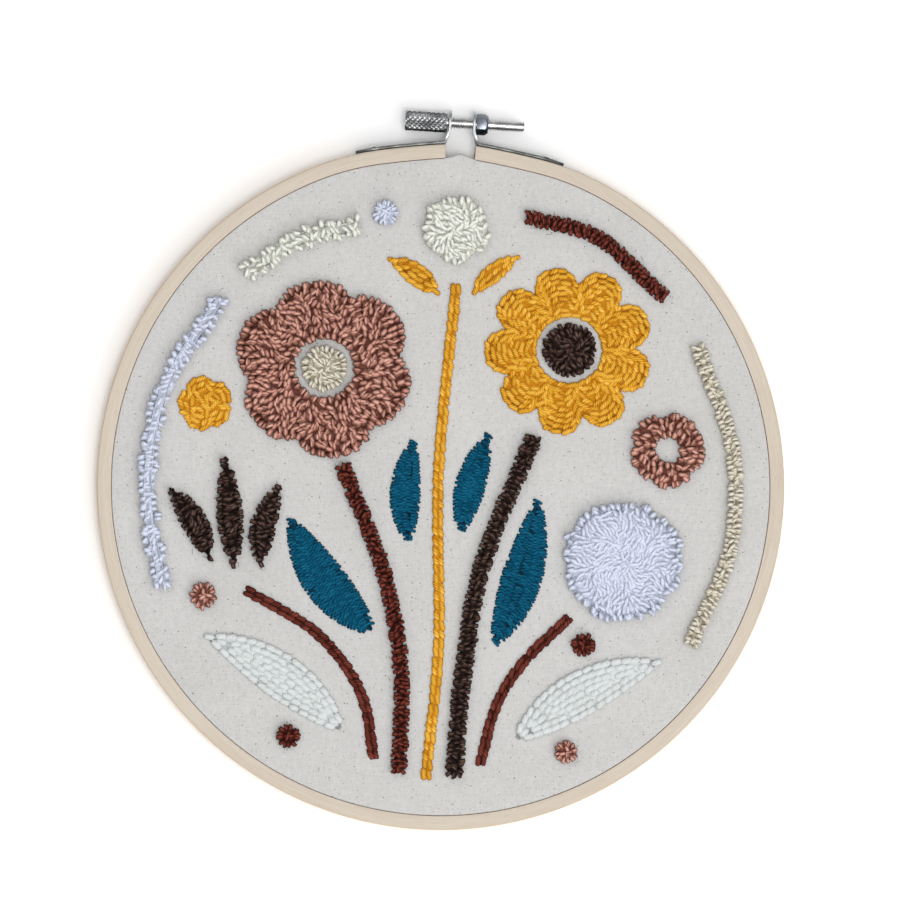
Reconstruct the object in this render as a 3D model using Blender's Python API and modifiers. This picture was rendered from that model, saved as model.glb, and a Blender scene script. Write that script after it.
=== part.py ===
"""Loop-pile embroidery in a wooden hoop, lying on its back.

Metres, +Z up. The stitched face looks up, the tightening screw is at +Y and its rod runs along X.
The origin is on the surface under the middle of the whole object.
"""

import math
from collections import namedtuple

import bmesh
import bpy
from mathutils import Matrix, Vector

MM = 0.001
FIT_GAP = 0.3 * MM
CUT_OVER = 1.0 * MM
SHARP_ANGLE = math.radians(35)

# Wooden rings and the cloth that they clamp
RING_SEGMENTS = 80
OUTER_RING_INNER_R = 101.5 * MM
OUTER_RING_WIDTH = 4.3 * MM
OUTER_RING_DEPTH = 10.0 * MM
OUTER_RING_CHAMFER = 0.9 * MM
CLOTH_THICKNESS = 1.0 * MM
CLOTH_EDGE_ROUND = 2.2 * MM
CLOTH_HEM_Z = 0.6 * MM
INNER_RING_WIDTH = 4.0 * MM
INNER_RING_DEPTH = 8.4 * MM
INNER_RING_CHAMFER = 0.9 * MM
OUTER_RING_R = OUTER_RING_INNER_R + OUTER_RING_WIDTH
CLOTH_R = OUTER_RING_INNER_R - FIT_GAP
INNER_RING_R = CLOTH_R - CLOTH_THICKNESS - FIT_GAP
CLOTH_UNDER_Z = INNER_RING_DEPTH + FIT_GAP
CLOTH_TOP_Z = CLOTH_UNDER_Z + CLOTH_THICKNESS

# The rings run a little straighter on both sides of the gap, where the straps stiffen them
GAP_HALF_ANGLE = math.radians(2.55)
FLAT_DEPTH = 0.8 * MM
FLAT_ANGLE = math.radians(9.0)
FLAT_SPREAD = math.radians(8.0)

# Steel straps, each bent up into a lug at the gap
STEEL_THICKNESS = 0.8 * MM
STRAP_HALF_WIDTH = 3.9 * MM
STRAP_TAIL_ANGLE = math.radians(17.6)
STRAP_TAIL_HALF_WIDTH = 2.3 * MM
STRAP_TAIL_LENGTH = math.radians(2.2)
STRAP_STEPS = 10
STRAP_MIDDLE_Z = 5.0 * MM
BEND_STEPS = 4
LUG_STEPS = 6
LUG_TOP_SWEEP = math.radians(84)
Strap = namedtuple("Strap", "name side foot_x lug_x bend_radius")
STRAPS = (
    Strap("strap_left", -1, 4.55 * MM, 3.6 * MM, 1.1 * MM),
    Strap("strap_right", 1, 4.80 * MM, 3.9 * MM, 1.6 * MM),
)
NAIL_ANGLE = math.radians(14.6)
NAIL_SHANK_R = 0.5 * MM
NAIL_HEAD_R = 1.25 * MM
NAIL_HEAD_HEIGHT = 0.55 * MM
NAIL_DEPTH = 2.6 * MM
NAIL_SEGMENTS = 12

# Thumbscrew and nut, all about the rod's axis
ROD_Y = 112.3 * MM
ROD_Z = STRAP_MIDDLE_Z
ROD_R = 1.7 * MM
ROD_END_X = 19.2 * MM
ROD_TIP_CHAMFER = 0.6 * MM
ROD_SEGMENTS = 20
HEAD_LENGTH = 13.4 * MM
HEAD_R = 3.2 * MM
HEAD_CHAMFER = 0.6 * MM
HEAD_SEGMENTS = 28
SOCKET_DEPTH = 6.0 * MM
NUT_LENGTH = 3.6 * MM
NUT_CORNER_R = 3.25 * MM
NUT_SHOULDER = 1.0 * MM
NUT_FACE_R = 2.35 * MM
NUT_SHOULDER_R = 2.95 * MM
BORE_R = ROD_R + FIT_GAP
LUG_TOP_Y = ROD_Y + STRAP_HALF_WIDTH * math.sin(LUG_TOP_SWEEP)
HEAD_END_X = -(STRAPS[0].lug_x + STEEL_THICKNESS / 2 + FIT_GAP)
NUT_START_X = STRAPS[1].lug_x + STEEL_THICKNESS / 2 + FIT_GAP

# Where the middle of the rings lies, with the origin under the middle of the whole object
HOOP_Y = (OUTER_RING_R - LUG_TOP_Y) / 2

# Height of the stitches over the cloth, by kind
STITCH_Z = CLOTH_TOP_Z + FIT_GAP
FLAT_HEIGHT = 1.8 * MM
SATIN_HEIGHT = 2.2 * MM
PILE_HEIGHT = 3.4 * MM
FLUFF_HEIGHT = 4.0 * MM

Yarn = namedtuple("Yarn", "height red green blue roughness")
YARNS = {
    "rust": Yarn(FLAT_HEIGHT, 93, 44, 36, 0.85),
    "dark_brown": Yarn(PILE_HEIGHT, 56, 40, 35, 0.9),
    "mustard": Yarn(FLAT_HEIGHT, 212, 156, 53, 0.85),
    "lilac_white": Yarn(FLUFF_HEIGHT, 204, 212, 229, 0.95),
    "rose": Yarn(PILE_HEIGHT, 142, 101, 89, 0.9),
    "teal": Yarn(SATIN_HEIGHT, 8, 79, 110, 0.85),
    "cream": Yarn(PILE_HEIGHT, 184, 180, 167, 0.9),
    "mint_white": Yarn(FLAT_HEIGHT, 207, 209, 209, 0.85),
    "ivory": Yarn(PILE_HEIGHT, 207, 208, 204, 0.9),
    "red_brown": Yarn(PILE_HEIGHT, 75, 28, 23, 0.9),
}

# The bouquet, in millimetres from the middle of the hoop
Stem = namedtuple("Stem", "name yarn width points")
STEMS = (
    Stem("tulip_stem", "rust", 3.4, ((-16, -84), (-21, -65), (-35, -48), (-57, -36))),
    Stem("rose_stem", "red_brown", 5.0, ((-8, -87), (-9, -58), (-16, -28), (-30, 3))),
    Stem("middle_stem", "mustard", 3.4, ((0.5, -89), (2, -48), (-1, 4), (1, 61))),
    Stem("daisy_stem", "dark_brown", 5.5, ((9, -87), (10, -58), (14, -24), (27, 15))),
    Stem("pompom_stem", "rust", 3.4, ((17, -84), (21, -66), (29, -52), (41, -39))),
    Stem("left_blade", "lilac_white", 6.0, ((-84, -34), (-90, -8), (-87, 24), (-72, 52))),
    Stem("right_blade", "cream", 4.8, ((80, -43), (90, -14), (89, 16), (77, 46))),
    Stem("top_blade_left", "ivory", 6.5, ((-62, 63), (-48, 73), (-32, 78))),
    Stem("top_blade_right", "red_brown", 4.8, ((23, 84), (44, 79), (64, 63))),
)
Leaf = namedtuple("Leaf", "name yarn base tip width bend")
LEAVES = (
    Leaf("teal_leaf_left", "teal", (-18, -46), (-46, -12), 13.0, 0.07),
    Leaf("teal_leaf_right", "teal", (19, -48), (30, -2), 12.0, -0.05),
    Leaf("mint_leaf_left", "mint_white", (-26, -77), (-70, -50), 14.0, -0.06),
    Leaf("mint_leaf_right", "mint_white", (27, -77), (71, -50), 14.0, 0.06),
    Leaf("tulip_petal_left", "dark_brown", (-69.5, -27), (-84, -5), 8.2, -0.06),
    Leaf("tulip_petal_middle", "dark_brown", (-62, -29), (-67, 6), 8.0, 0.0),
    Leaf("tulip_petal_right", "dark_brown", (-54, -28), (-49, -2), 8.2, 0.08),
    Leaf("rose_leaf", "teal", (-9, -18), (-9, 14), 9.0, 0.06),
    Leaf("daisy_leaf", "teal", (7, -14), (14, 17), 9.0, 0.04),
    Leaf("bud_leaf_left", "mustard", (-4.5, 59), (-20, 69), 7.0, -0.05),
    Leaf("bud_leaf_right", "mustard", (6.5, 60), (20, 72), 6.0, 0.05),
)
Bloom = namedtuple("Bloom", "name yarn centre radius petals notch hole turn")
BLOOMS = (
    Bloom("rose_petals", "rose", (-38, 34), 27.5, 6, 0.16, 8.8, 12),
    Bloom("rose_centre", "cream", (-38, 34), 7.2, 5, 0.04, 0, 0),
    Bloom("daisy_petals", "mustard", (37, 44), 26.0, 9, 0.26, 10.0, 5),
    Bloom("daisy_centre", "dark_brown", (37, 44), 8.4, 5, 0.04, 0, 0),
    Bloom("pompom", "lilac_white", (57, -20), 19.0, 8, 0.07, 0, 10),
    Bloom("bud", "ivory", (0, 79), 11.0, 5, 0.14, 0, 18),
    Bloom("left_blossom", "mustard", (-74, 21), 8.5, 5, 0.16, 0, 0),
    Bloom("right_blossom", "rose", (69, 15), 12.0, 5, 0.16, 3.6, 30),
    Bloom("berry_low_left", "red_brown", (-42.5, -79.5), 3.7, 5, 0.05, 0, 0),
    Bloom("berry_low_right", "rose", (43, -79.5), 3.7, 5, 0.05, 0, 0),
    Bloom("berry_left", "rose", (-71, -38), 4.2, 5, 0.05, 0, 20),
    Bloom("berry_right", "red_brown", (46.5, -46.5), 3.8, 5, 0.05, 0, 20),
    Bloom("berry_top", "lilac_white", (-22, 83), 4.0, 5, 0.05, 0, 20),
)
PATH_STEP = 8.0
WAVE_PER_SECTION = 2.1
LEAF_SECTIONS = 9
LEAF_POINT = 0.015
LEAF_BELLY = 0.9
LEAF_BLUNTNESS = 0.75
STEM_END_ROUND = (0.45, 0.8)
BLOOM_STEPS_PER_PETAL = 6
BLOOM_STEP = 2.2
NOTCH_SHARPNESS = 1.6
FEWEST_STEPS = 12
UNEVEN = 0.03

# Sections of the stitched patches, as shares of the half width or radius and of the height
Level = namedtuple("Level", "share rise")
BAND_SECTION = (
    Level(-0.88, 0.0),
    Level(-1.0, 0.45),
    Level(-0.55, 1.0),
    Level(0.55, 1.0),
    Level(1.0, 0.45),
    Level(0.88, 0.0),
)
BLOOM_OUTSIDE = (Level(0.96, 0.0), Level(1.0, 0.45), Level(0.84, 0.95))
BLOOM_TOP = Level(0.45, 1.0)
HOLE_SIDE = (Level(1.15, 0.95), Level(1.0, 0.45), Level(1.05, 0.0))


def linear(channel):
    """One 0 to 255 colour channel as a linear value."""
    value = channel / 255
    return value / 12.92 if value <= 0.04045 else ((value + 0.055) / 1.055) ** 2.4


def material(name, red, green, blue, roughness, metallic=0.0):
    made = bpy.data.materials.new(name)
    made.use_nodes = True
    shader = made.node_tree.nodes["Principled BSDF"]
    shader.inputs["Base Color"].default_value = (linear(red), linear(green), linear(blue), 1)
    shader.inputs["Roughness"].default_value = roughness
    shader.inputs["Metallic"].default_value = metallic
    return made


def new_object(name, mesh, collection, finish=None):
    made = bpy.data.objects.new(name, mesh)
    collection.objects.link(made)
    if finish:
        mesh.materials.append(finish)
    mesh.shade_smooth()
    mesh.set_sharp_from_angle(angle=SHARP_ANGLE)
    return made


def mesh_of(name, shape):
    """A mesh from a bmesh, its faces turned outwards."""
    bmesh.ops.recalc_face_normals(shape, faces=shape.faces)
    mesh = bpy.data.meshes.new(name)
    shape.to_mesh(mesh)
    shape.free()
    return mesh


def turned_mesh(name, profile, axis, steps):
    """The closed mesh that a profile, a list of local points, sweeps about an axis."""
    outline = bpy.data.meshes.new(name + "_profile")
    outline.from_pydata(profile, [(i, i + 1) for i in range(len(profile) - 1)], [])
    holder = bpy.data.objects.new(name + "_profile", outline)
    bpy.context.scene.collection.objects.link(holder)
    screw = holder.modifiers.new("Turn", "SCREW")
    screw.axis = axis
    screw.steps = steps
    screw.render_steps = steps
    screw.use_merge_vertices = True
    screw.merge_threshold = 0.01 * MM
    graph = bpy.context.evaluated_depsgraph_get()
    swept = bpy.data.meshes.new_from_object(holder.evaluated_get(graph))
    shape = bmesh.new()
    shape.from_mesh(swept)
    bmesh.ops.remove_doubles(shape, verts=shape.verts, dist=0.01 * MM)
    bpy.data.objects.remove(holder)
    bpy.data.meshes.remove(swept)
    bpy.data.meshes.remove(outline)
    return mesh_of(name, shape)


def cut(target, cutter, operation="DIFFERENCE"):
    boolean = target.modifiers.new(cutter.name, "BOOLEAN")
    boolean.object = cutter
    boolean.operation = operation


def flattening(angle):
    """How far a ring is drawn in at an angle from the middle of the gap."""
    away = abs((angle + math.pi) % (2 * math.pi) - math.pi)
    return FLAT_DEPTH * math.exp(-(((away - FLAT_ANGLE) / FLAT_SPREAD) ** 2))


def ease_round(mesh):
    """Draws a ring or the cloth's edge in beside the gap. The middle of the cloth stays where it is."""
    for vertex in mesh.vertices:
        radius = math.hypot(vertex.co.x, vertex.co.y)
        if radius < FLAT_DEPTH:
            continue
        drawn = 1 - flattening(math.atan2(vertex.co.x, vertex.co.y)) / radius
        vertex.co.x *= drawn
        vertex.co.y *= drawn


def chamfered_section(inner, outer, low, high, chamfer):
    """A ring's section, closed, from the top of its outer side down and round."""
    corners = (
        (outer, high - chamfer),
        (outer, low + chamfer),
        (outer - chamfer, low),
        (inner + chamfer, low),
        (inner, low + chamfer),
        (inner, high - chamfer),
        (inner + chamfer, high),
        (outer - chamfer, high),
        (outer, high - chamfer),
    )
    return [(radius, 0, z) for radius, z in corners]


def quarter_round(centre_r, centre_z, radius, steps, downwards):
    """Points of a quarter circle between straight up and straight out."""
    turns = [i / steps * math.pi / 2 for i in range(steps + 1)]
    if not downwards:
        turns.reverse()
    return [(centre_r + radius * math.sin(t), 0, centre_z + radius * math.cos(t)) for t in turns]


def ring(name, outer, width, depth, chamfer, collection, finish):
    section = chamfered_section(outer - width, outer, 0, depth, chamfer)
    mesh = turned_mesh(name, section, "Z", RING_SEGMENTS)
    ease_round(mesh)
    return new_object(name, mesh, collection, finish)


def cloth(collection, finish):
    """The disc of calico with its edge turned down between the rings."""
    outer_round = CLOTH_EDGE_ROUND
    inner_round = CLOTH_EDGE_ROUND - CLOTH_THICKNESS
    centre_r = CLOTH_R - outer_round
    centre_z = CLOTH_TOP_Z - outer_round
    profile = [(0, 0, CLOTH_TOP_Z)]
    profile += quarter_round(centre_r, centre_z, outer_round, 4, True)
    profile += [(CLOTH_R, 0, CLOTH_HEM_Z), (CLOTH_R - CLOTH_THICKNESS, 0, CLOTH_HEM_Z)]
    profile += quarter_round(centre_r, centre_z, inner_round, 2, False)
    profile += [(0, 0, CLOTH_UNDER_Z)]
    mesh = turned_mesh("cloth", profile, "Z", RING_SEGMENTS)
    ease_round(mesh)
    return new_object("cloth", mesh, collection, finish)


def gap_cutter(cutters):
    """A wedge whose sides are radial, so that it leaves the ring's ends square."""
    near, far = OUTER_RING_INNER_R - 8 * MM, OUTER_RING_R + 8 * MM
    shape = bmesh.new()
    bmesh.ops.create_cube(shape, size=1)
    for vertex in shape.verts:
        y = far if vertex.co.y > 0 else near
        x = math.copysign(y * math.tan(GAP_HALF_ANGLE), vertex.co.x)
        vertex.co = (x, y, vertex.co.z * 4 * OUTER_RING_DEPTH)
    return helper(new_object("gap_cutter", mesh_of("gap_cutter", shape), cutters))


def helper(item):
    item.hide_render = True
    item.display_type = "WIRE"
    return item


def rod_cutter(name, start, end, cutters):
    profile = [(end, 0, 0), (end, BORE_R, 0), (start, BORE_R, 0), (start, 0, 0)]
    made = helper(new_object(name, turned_mesh(name, profile, "X", ROD_SEGMENTS), cutters))
    made.location = (0, ROD_Y, ROD_Z)
    return made


def radial_cylinder(radius, inner, outer, angle, segments):
    """A cylinder along a radius of the hoop at an angle from the middle of the gap."""
    turn = Matrix.Rotation(-angle, 4, "Z") @ Matrix.Rotation(-math.pi / 2, 4, "X")
    place = turn @ Matrix.Translation((0, 0, (inner + outer) / 2))
    shape = bmesh.new()
    bmesh.ops.create_cone(
        shape,
        cap_ends=True,
        segments=segments,
        radius1=radius,
        radius2=radius,
        depth=outer - inner,
        matrix=Matrix.Translation((0, 0, STRAP_MIDDLE_Z)) @ place,
    )
    return shape


def nail(strap, collection, finish):
    """A nail through the strap into the wood, its head a low dome."""
    angle = strap.side * NAIL_ANGLE
    seat = OUTER_RING_R - flattening(angle) + 2 * FIT_GAP + STEEL_THICKNESS
    profile = [(0, 0, NAIL_HEAD_HEIGHT)]
    profile += [(NAIL_HEAD_R * 0.6, 0, NAIL_HEAD_HEIGHT * 0.8), (NAIL_HEAD_R, 0, 0)]
    profile += [(NAIL_SHANK_R, 0, 0), (NAIL_SHANK_R, 0, -NAIL_DEPTH), (0, 0, -NAIL_DEPTH)]
    side = strap.name.removeprefix("strap_")
    turned = turned_mesh("nail", profile, "Z", NAIL_SEGMENTS)
    made = new_object("nail_" + side, turned, collection, finish)
    turn = Matrix.Rotation(-angle, 4, "Z") @ Matrix.Rotation(-math.pi / 2, 4, "X")
    middle = Matrix.Translation((0, 0, STRAP_MIDDLE_Z))
    made.matrix_world = middle @ turn @ Matrix.Translation((0, 0, seat))
    return made


def strap_stations(strap):
    """The strap's middle line from its tail to the top of its lug, as (x, y, half width)."""
    middle_r = OUTER_RING_R + FIT_GAP + STEEL_THICKNESS / 2
    bend_x = strap.foot_x + strap.bend_radius
    first, last = STRAP_TAIL_ANGLE - STRAP_TAIL_LENGTH, math.asin(bend_x / middle_r)
    angles = [first + (last - first) * i / STRAP_STEPS for i in range(STRAP_STEPS + 1)]
    stations = []
    for angle in [STRAP_TAIL_ANGLE] + angles:
        radius = middle_r - flattening(angle)
        width = STRAP_TAIL_HALF_WIDTH if angle == STRAP_TAIL_ANGLE else STRAP_HALF_WIDTH
        stations.append((radius * math.sin(angle), radius * math.cos(angle), width))
    foot_y = stations[-1][1]
    for i in range(1, BEND_STEPS + 1):
        turn = i / BEND_STEPS * math.pi / 2
        x = bend_x - strap.bend_radius * math.sin(turn)
        y = foot_y + strap.bend_radius * (1 - math.cos(turn))
        stations.append((x, y, STRAP_HALF_WIDTH))
    stations.append((strap.lug_x, ROD_Y - STRAP_HALF_WIDTH * 0.7, STRAP_HALF_WIDTH))
    for i in range(LUG_STEPS + 1):
        rise = LUG_TOP_SWEEP * i / LUG_STEPS
        y = ROD_Y + STRAP_HALF_WIDTH * math.sin(rise)
        stations.append((strap.lug_x, y, STRAP_HALF_WIDTH * math.cos(rise)))
    return stations


def steel_strap(strap, collection, finish):
    """A strip of sheet steel along the ring, bent up and rounded over at its top."""
    shape = bmesh.new()
    rows = []
    for x, y, half_width in strap_stations(strap):
        low = shape.verts.new((strap.side * x, y, STRAP_MIDDLE_Z - half_width))
        high = shape.verts.new((strap.side * x, y, STRAP_MIDDLE_Z + half_width))
        rows.append((low, high))
    for here, there in zip(rows, rows[1:]):
        shape.faces.new((here[0], here[1], there[1], there[0]))
    made = new_object(strap.name, mesh_of(strap.name, shape), collection, finish)
    solid = made.modifiers.new("Sheet", "SOLIDIFY")
    solid.thickness = STEEL_THICKNESS
    solid.offset = 0
    solid.use_even_offset = True
    return made


def hex_nut(collection, cutters, finish):
    """A hexagonal nut, its outer corners turned to a round shoulder."""
    shape = bmesh.new()
    bmesh.ops.create_cone(
        shape,
        cap_ends=True,
        segments=6,
        radius1=NUT_CORNER_R,
        radius2=NUT_CORNER_R,
        depth=NUT_LENGTH,
        matrix=Matrix.Translation((NUT_START_X + NUT_LENGTH / 2, 0, 0))
        @ Matrix.Rotation(math.pi / 2, 4, "Y"),
    )
    made = new_object("nut", mesh_of("nut", shape), collection, finish)
    made.location = (0, ROD_Y, ROD_Z)
    end = NUT_START_X + NUT_LENGTH
    start, clear_of = NUT_START_X - CUT_OVER, NUT_CORNER_R + FIT_GAP / 3
    profile = [(end + FIT_GAP, 0, 0), (end + FIT_GAP, NUT_FACE_R, 0)]
    profile += [(end - NUT_SHOULDER / 2, NUT_SHOULDER_R, 0), (end - NUT_SHOULDER, clear_of, 0)]
    profile += [(start, clear_of, 0), (start, 0, 0)]
    shoulder = helper(new_object("nut_shoulder", turned_mesh("shoulder", profile, "X", 24), cutters))
    shoulder.location = (0, ROD_Y, ROD_Z)
    cut(made, shoulder, "INTERSECT")
    cut(made, rod_cutter("nut_bore", start, end + CUT_OVER, cutters))
    return made


def thumbscrew(collection, cutters, steel, knurled):
    """The knurled head and the rod pressed into it. Both have their origin on the rod's axis."""
    start, end = HEAD_END_X - HEAD_LENGTH, HEAD_END_X
    full = HEAD_R
    profile = [(start, 0, 0), (start, full - HEAD_CHAMFER, 0), (start + HEAD_CHAMFER, full, 0)]
    profile += [(end - HEAD_CHAMFER / 2, full, 0), (end, full - HEAD_CHAMFER / 2, 0), (end, 0, 0)]
    turned = turned_mesh("head", profile, "X", HEAD_SEGMENTS)
    head = new_object("knurled_head", turned, collection, knurled)
    head.location = (0, ROD_Y, ROD_Z)
    bottom = end - SOCKET_DEPTH
    cut(head, rod_cutter("head_socket", bottom, end + CUT_OVER, cutters))
    profile = [(bottom + FIT_GAP, 0, 0), (bottom + FIT_GAP, ROD_R, 0)]
    profile += [(ROD_END_X - ROD_TIP_CHAMFER, ROD_R, 0)]
    profile += [(ROD_END_X, ROD_R - ROD_TIP_CHAMFER, 0), (ROD_END_X, 0, 0)]
    turned = turned_mesh("rod", profile, "X", ROD_SEGMENTS)
    rod = new_object("threaded_rod", turned, collection, steel)
    rod.location = (0, ROD_Y, ROD_Z)


def smooth_path(points, step):
    """A smooth curve through the points, as points and tangents about a step apart."""
    ends = [2 * points[0] - points[1]] + list(points) + [2 * points[-1] - points[-2]]
    found = []
    for before, start, end, after in zip(ends, ends[1:], ends[2:], ends[3:]):
        count = max(2, round((end - start).length / step))
        for i in range(count):
            t = i / count
            pull = -t * (1 - t) ** 2 / 2, (2 - 5 * t * t + 3 * t**3) / 2
            push = (t + 4 * t * t - 3 * t**3) / 2, (t**3 - t * t) / 2
            found.append(before * pull[0] + start * pull[1] + end * push[0] + after * push[1])
    found.append(points[-1])
    tangents = []
    for i in range(len(found)):
        ahead, behind = found[min(i + 1, len(found) - 1)], found[max(i - 1, 0)]
        tangents.append((ahead - behind).normalized())
    return list(zip(found, tangents))


def stem_sections(stem):
    """Sections of a stem as (middle, direction, half width), its ends rounded."""
    path = smooth_path([Vector(p) for p in stem.points], PATH_STEP)
    half = stem.width / 2
    sections = []
    for i, (middle, along) in enumerate(path):
        sections.append([middle, along, half * (1 + UNEVEN * math.sin(WAVE_PER_SECTION * i))])
    first, last = path[0], path[-1]
    head, tail = [], []
    for share in STEM_END_ROUND:
        reach = half * math.sqrt(1 - share * share)
        head.append([first[0] - first[1] * reach, first[1], half * share])
        tail.append([last[0] + last[1] * reach, last[1], half * share])
    return head + sections + tail[::-1]


def leaf_sections(leaf):
    """Sections of a leaf or petal along its bent middle line, pointed at both ends."""
    base, tip = Vector(leaf.base), Vector(leaf.tip)
    along = tip - base
    side = Vector((-along.y, along.x)) * leaf.bend
    sections = []
    for i in range(LEAF_SECTIONS + 1):
        t = LEAF_POINT + (1 - 2 * LEAF_POINT) * i / LEAF_SECTIONS
        middle = base + along * t + side * (4 * t * (1 - t))
        direction = (along + side * (4 - 8 * t)).normalized()
        half = leaf.width / 2 * math.sin(math.pi * t**LEAF_BELLY) ** LEAF_BLUNTNESS
        sections.append([middle, direction, half])
    return sections


def stitch_vertex(shape, place, height):
    """A vertex at a place of the bouquet, in millimetres, and a height over the cloth."""
    return shape.verts.new((place.x * MM, place.y * MM, STITCH_Z + height))


def join_rings(shape, here, there):
    for i in range(len(here)):
        j = (i + 1) % len(here)
        shape.faces.new((here[i], here[j], there[j], there[i]))


def crowned_band(name, sections, height, collection, finish):
    """A closed strip of stitches: flat underneath, its sides bulging and its top crowned."""
    shape = bmesh.new()
    rings = []
    for middle, along, half in sections:
        side = Vector((-along.y, along.x))
        rings.append([])
        for level in BAND_SECTION:
            place = middle + side * (level.share * half)
            rings[-1].append(stitch_vertex(shape, place, level.rise * height))
    for here, there in zip(rings, rings[1:]):
        join_rings(shape, here, there)
    shape.faces.new(rings[0])
    shape.faces.new(rings[-1])
    return new_object(name, mesh_of(name, shape), collection, finish)


def bloom_radius(bloom, angle):
    """The outline of a bloom: as many round petals as it has, a little uneven."""
    wave = abs(math.sin(bloom.petals * (angle - math.radians(bloom.turn)) / 2))
    round_petal = 1 - bloom.notch * (1 - wave) ** NOTCH_SHARPNESS
    return bloom.radius * round_petal * (1 + UNEVEN / 2 * math.sin(3 * angle + bloom.centre[0]))


def crowned_bloom(bloom, collection, finish):
    """A closed patch of stitches with a petalled outline, open in the middle if it has a hole."""
    height = YARNS[bloom.yarn].height
    centre = Vector(bloom.centre)
    round_steps = round(2 * math.pi * bloom.radius / BLOOM_STEP)
    steps = max(FEWEST_STEPS, min(bloom.petals * BLOOM_STEPS_PER_PETAL, round_steps))
    turns = [2 * math.pi * i / steps for i in range(steps)]
    shape = bmesh.new()

    def loop_of_verts(level, radii):
        verts = []
        for angle, radius in zip(turns, radii):
            place = centre + Vector((math.cos(angle), math.sin(angle))) * radius * level.share
            verts.append(stitch_vertex(shape, place, level.rise * height))
        return verts

    edge = [bloom_radius(bloom, angle) for angle in turns]
    rings = [loop_of_verts(level, edge) for level in BLOOM_OUTSIDE]
    if bloom.hole:
        rings += [loop_of_verts(level, [bloom.hole] * steps) for level in HOLE_SIDE]
        rings.append(rings[0])
    else:
        rings.append(loop_of_verts(BLOOM_TOP, edge))
        for rim, rise in ((rings[0], 0), (rings[-1], height)):
            middle = stitch_vertex(shape, centre, rise)
            for i in range(steps):
                shape.faces.new((rim[i], rim[(i + 1) % steps], middle))
    for here, there in zip(rings, rings[1:]):
        join_rings(shape, here, there)
    return new_object(bloom.name, mesh_of(bloom.name, shape), collection, finish)


def clear_scene():
    for item in list(bpy.data.objects):
        bpy.data.objects.remove(item)


def carry_on_middle(parts, cutters):
    """Parents every piece and cutter to an empty at the middle of the rings."""
    middle = bpy.data.objects.new("hoop_middle", None)
    bpy.context.scene.collection.objects.link(middle)
    for item in list(parts.objects) + list(cutters.objects):
        item.parent = middle
    middle.location = (0, HOOP_Y, 0)


def main():
    clear_scene()
    parts = bpy.data.collections.new("hoop_embroidery")
    cutters = bpy.data.collections.new("cutters")
    cutters.hide_render = True
    for collection in (parts, cutters):
        bpy.context.scene.collection.children.link(collection)
    outer_wood = material("outer_wood", 214, 204, 187, 0.6)
    inner_wood = material("inner_wood", 208, 190, 160, 0.65)
    calico = material("calico", 207, 203, 197, 0.95)
    steel = material("steel", 170, 167, 165, 0.35, 1.0)
    strap_steel = material("strap_steel", 120, 122, 120, 0.4, 1.0)
    knurled = material("knurled_steel", 150, 147, 144, 0.35, 1.0)

    outer_size = OUTER_RING_R, OUTER_RING_WIDTH, OUTER_RING_DEPTH, OUTER_RING_CHAMFER
    inner_size = INNER_RING_R, INNER_RING_WIDTH, INNER_RING_DEPTH, INNER_RING_CHAMFER
    outer = ring("outer_ring", *outer_size, parts, outer_wood)
    cut(outer, gap_cutter(cutters))
    ring("inner_ring", *inner_size, parts, inner_wood)
    cloth(parts, calico)
    for strap in STRAPS:
        made = steel_strap(strap, parts, strap_steel)
        lug = strap.side * strap.lug_x
        cut(made, rod_cutter(strap.name + "_hole", lug - CUT_OVER, lug + CUT_OVER, cutters))
        angle = strap.side * NAIL_ANGLE
        ends = OUTER_RING_R - NAIL_DEPTH - CUT_OVER, OUTER_RING_R + STEEL_THICKNESS + 2 * CUT_OVER
        hole = radial_cylinder(NAIL_SHANK_R + FIT_GAP, *ends, angle, NAIL_SEGMENTS)
        hole_name = strap.name + "_nail_hole"
        nail_hole = helper(new_object(hole_name, mesh_of(hole_name, hole), cutters))
        cut(made, nail_hole)
        cut(outer, nail_hole)
        nail(strap, parts, steel)
    hex_nut(parts, cutters, steel)
    thumbscrew(parts, cutters, steel, knurled)

    finishes = {name: material(name, y.red, y.green, y.blue, y.roughness) for name, y in YARNS.items()}
    for stem in STEMS:
        crowned_band(stem.name, stem_sections(stem), YARNS[stem.yarn].height, parts, finishes[stem.yarn])
    for leaf in LEAVES:
        crowned_band(leaf.name, leaf_sections(leaf), YARNS[leaf.yarn].height, parts, finishes[leaf.yarn])
    for bloom in BLOOMS:
        crowned_bloom(bloom, parts, finishes[bloom.yarn])
    carry_on_middle(parts, cutters)


main()
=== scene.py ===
"""The looks of a loop-pile embroidery in a wooden hoop, lying on its back.

Metres, +Z up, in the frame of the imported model. The stitched face looks up and the tightening screw is at +Y.
Plans of the stitched patches are in millimetres from the middle of the hoop.
"""

import logging
import math
from collections.abc import Callable, Iterator
from contextlib import contextmanager
from dataclasses import dataclass, field
from enum import Enum

import bmesh
import bpy
import numpy as np
from mathutils import Matrix, Vector


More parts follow.
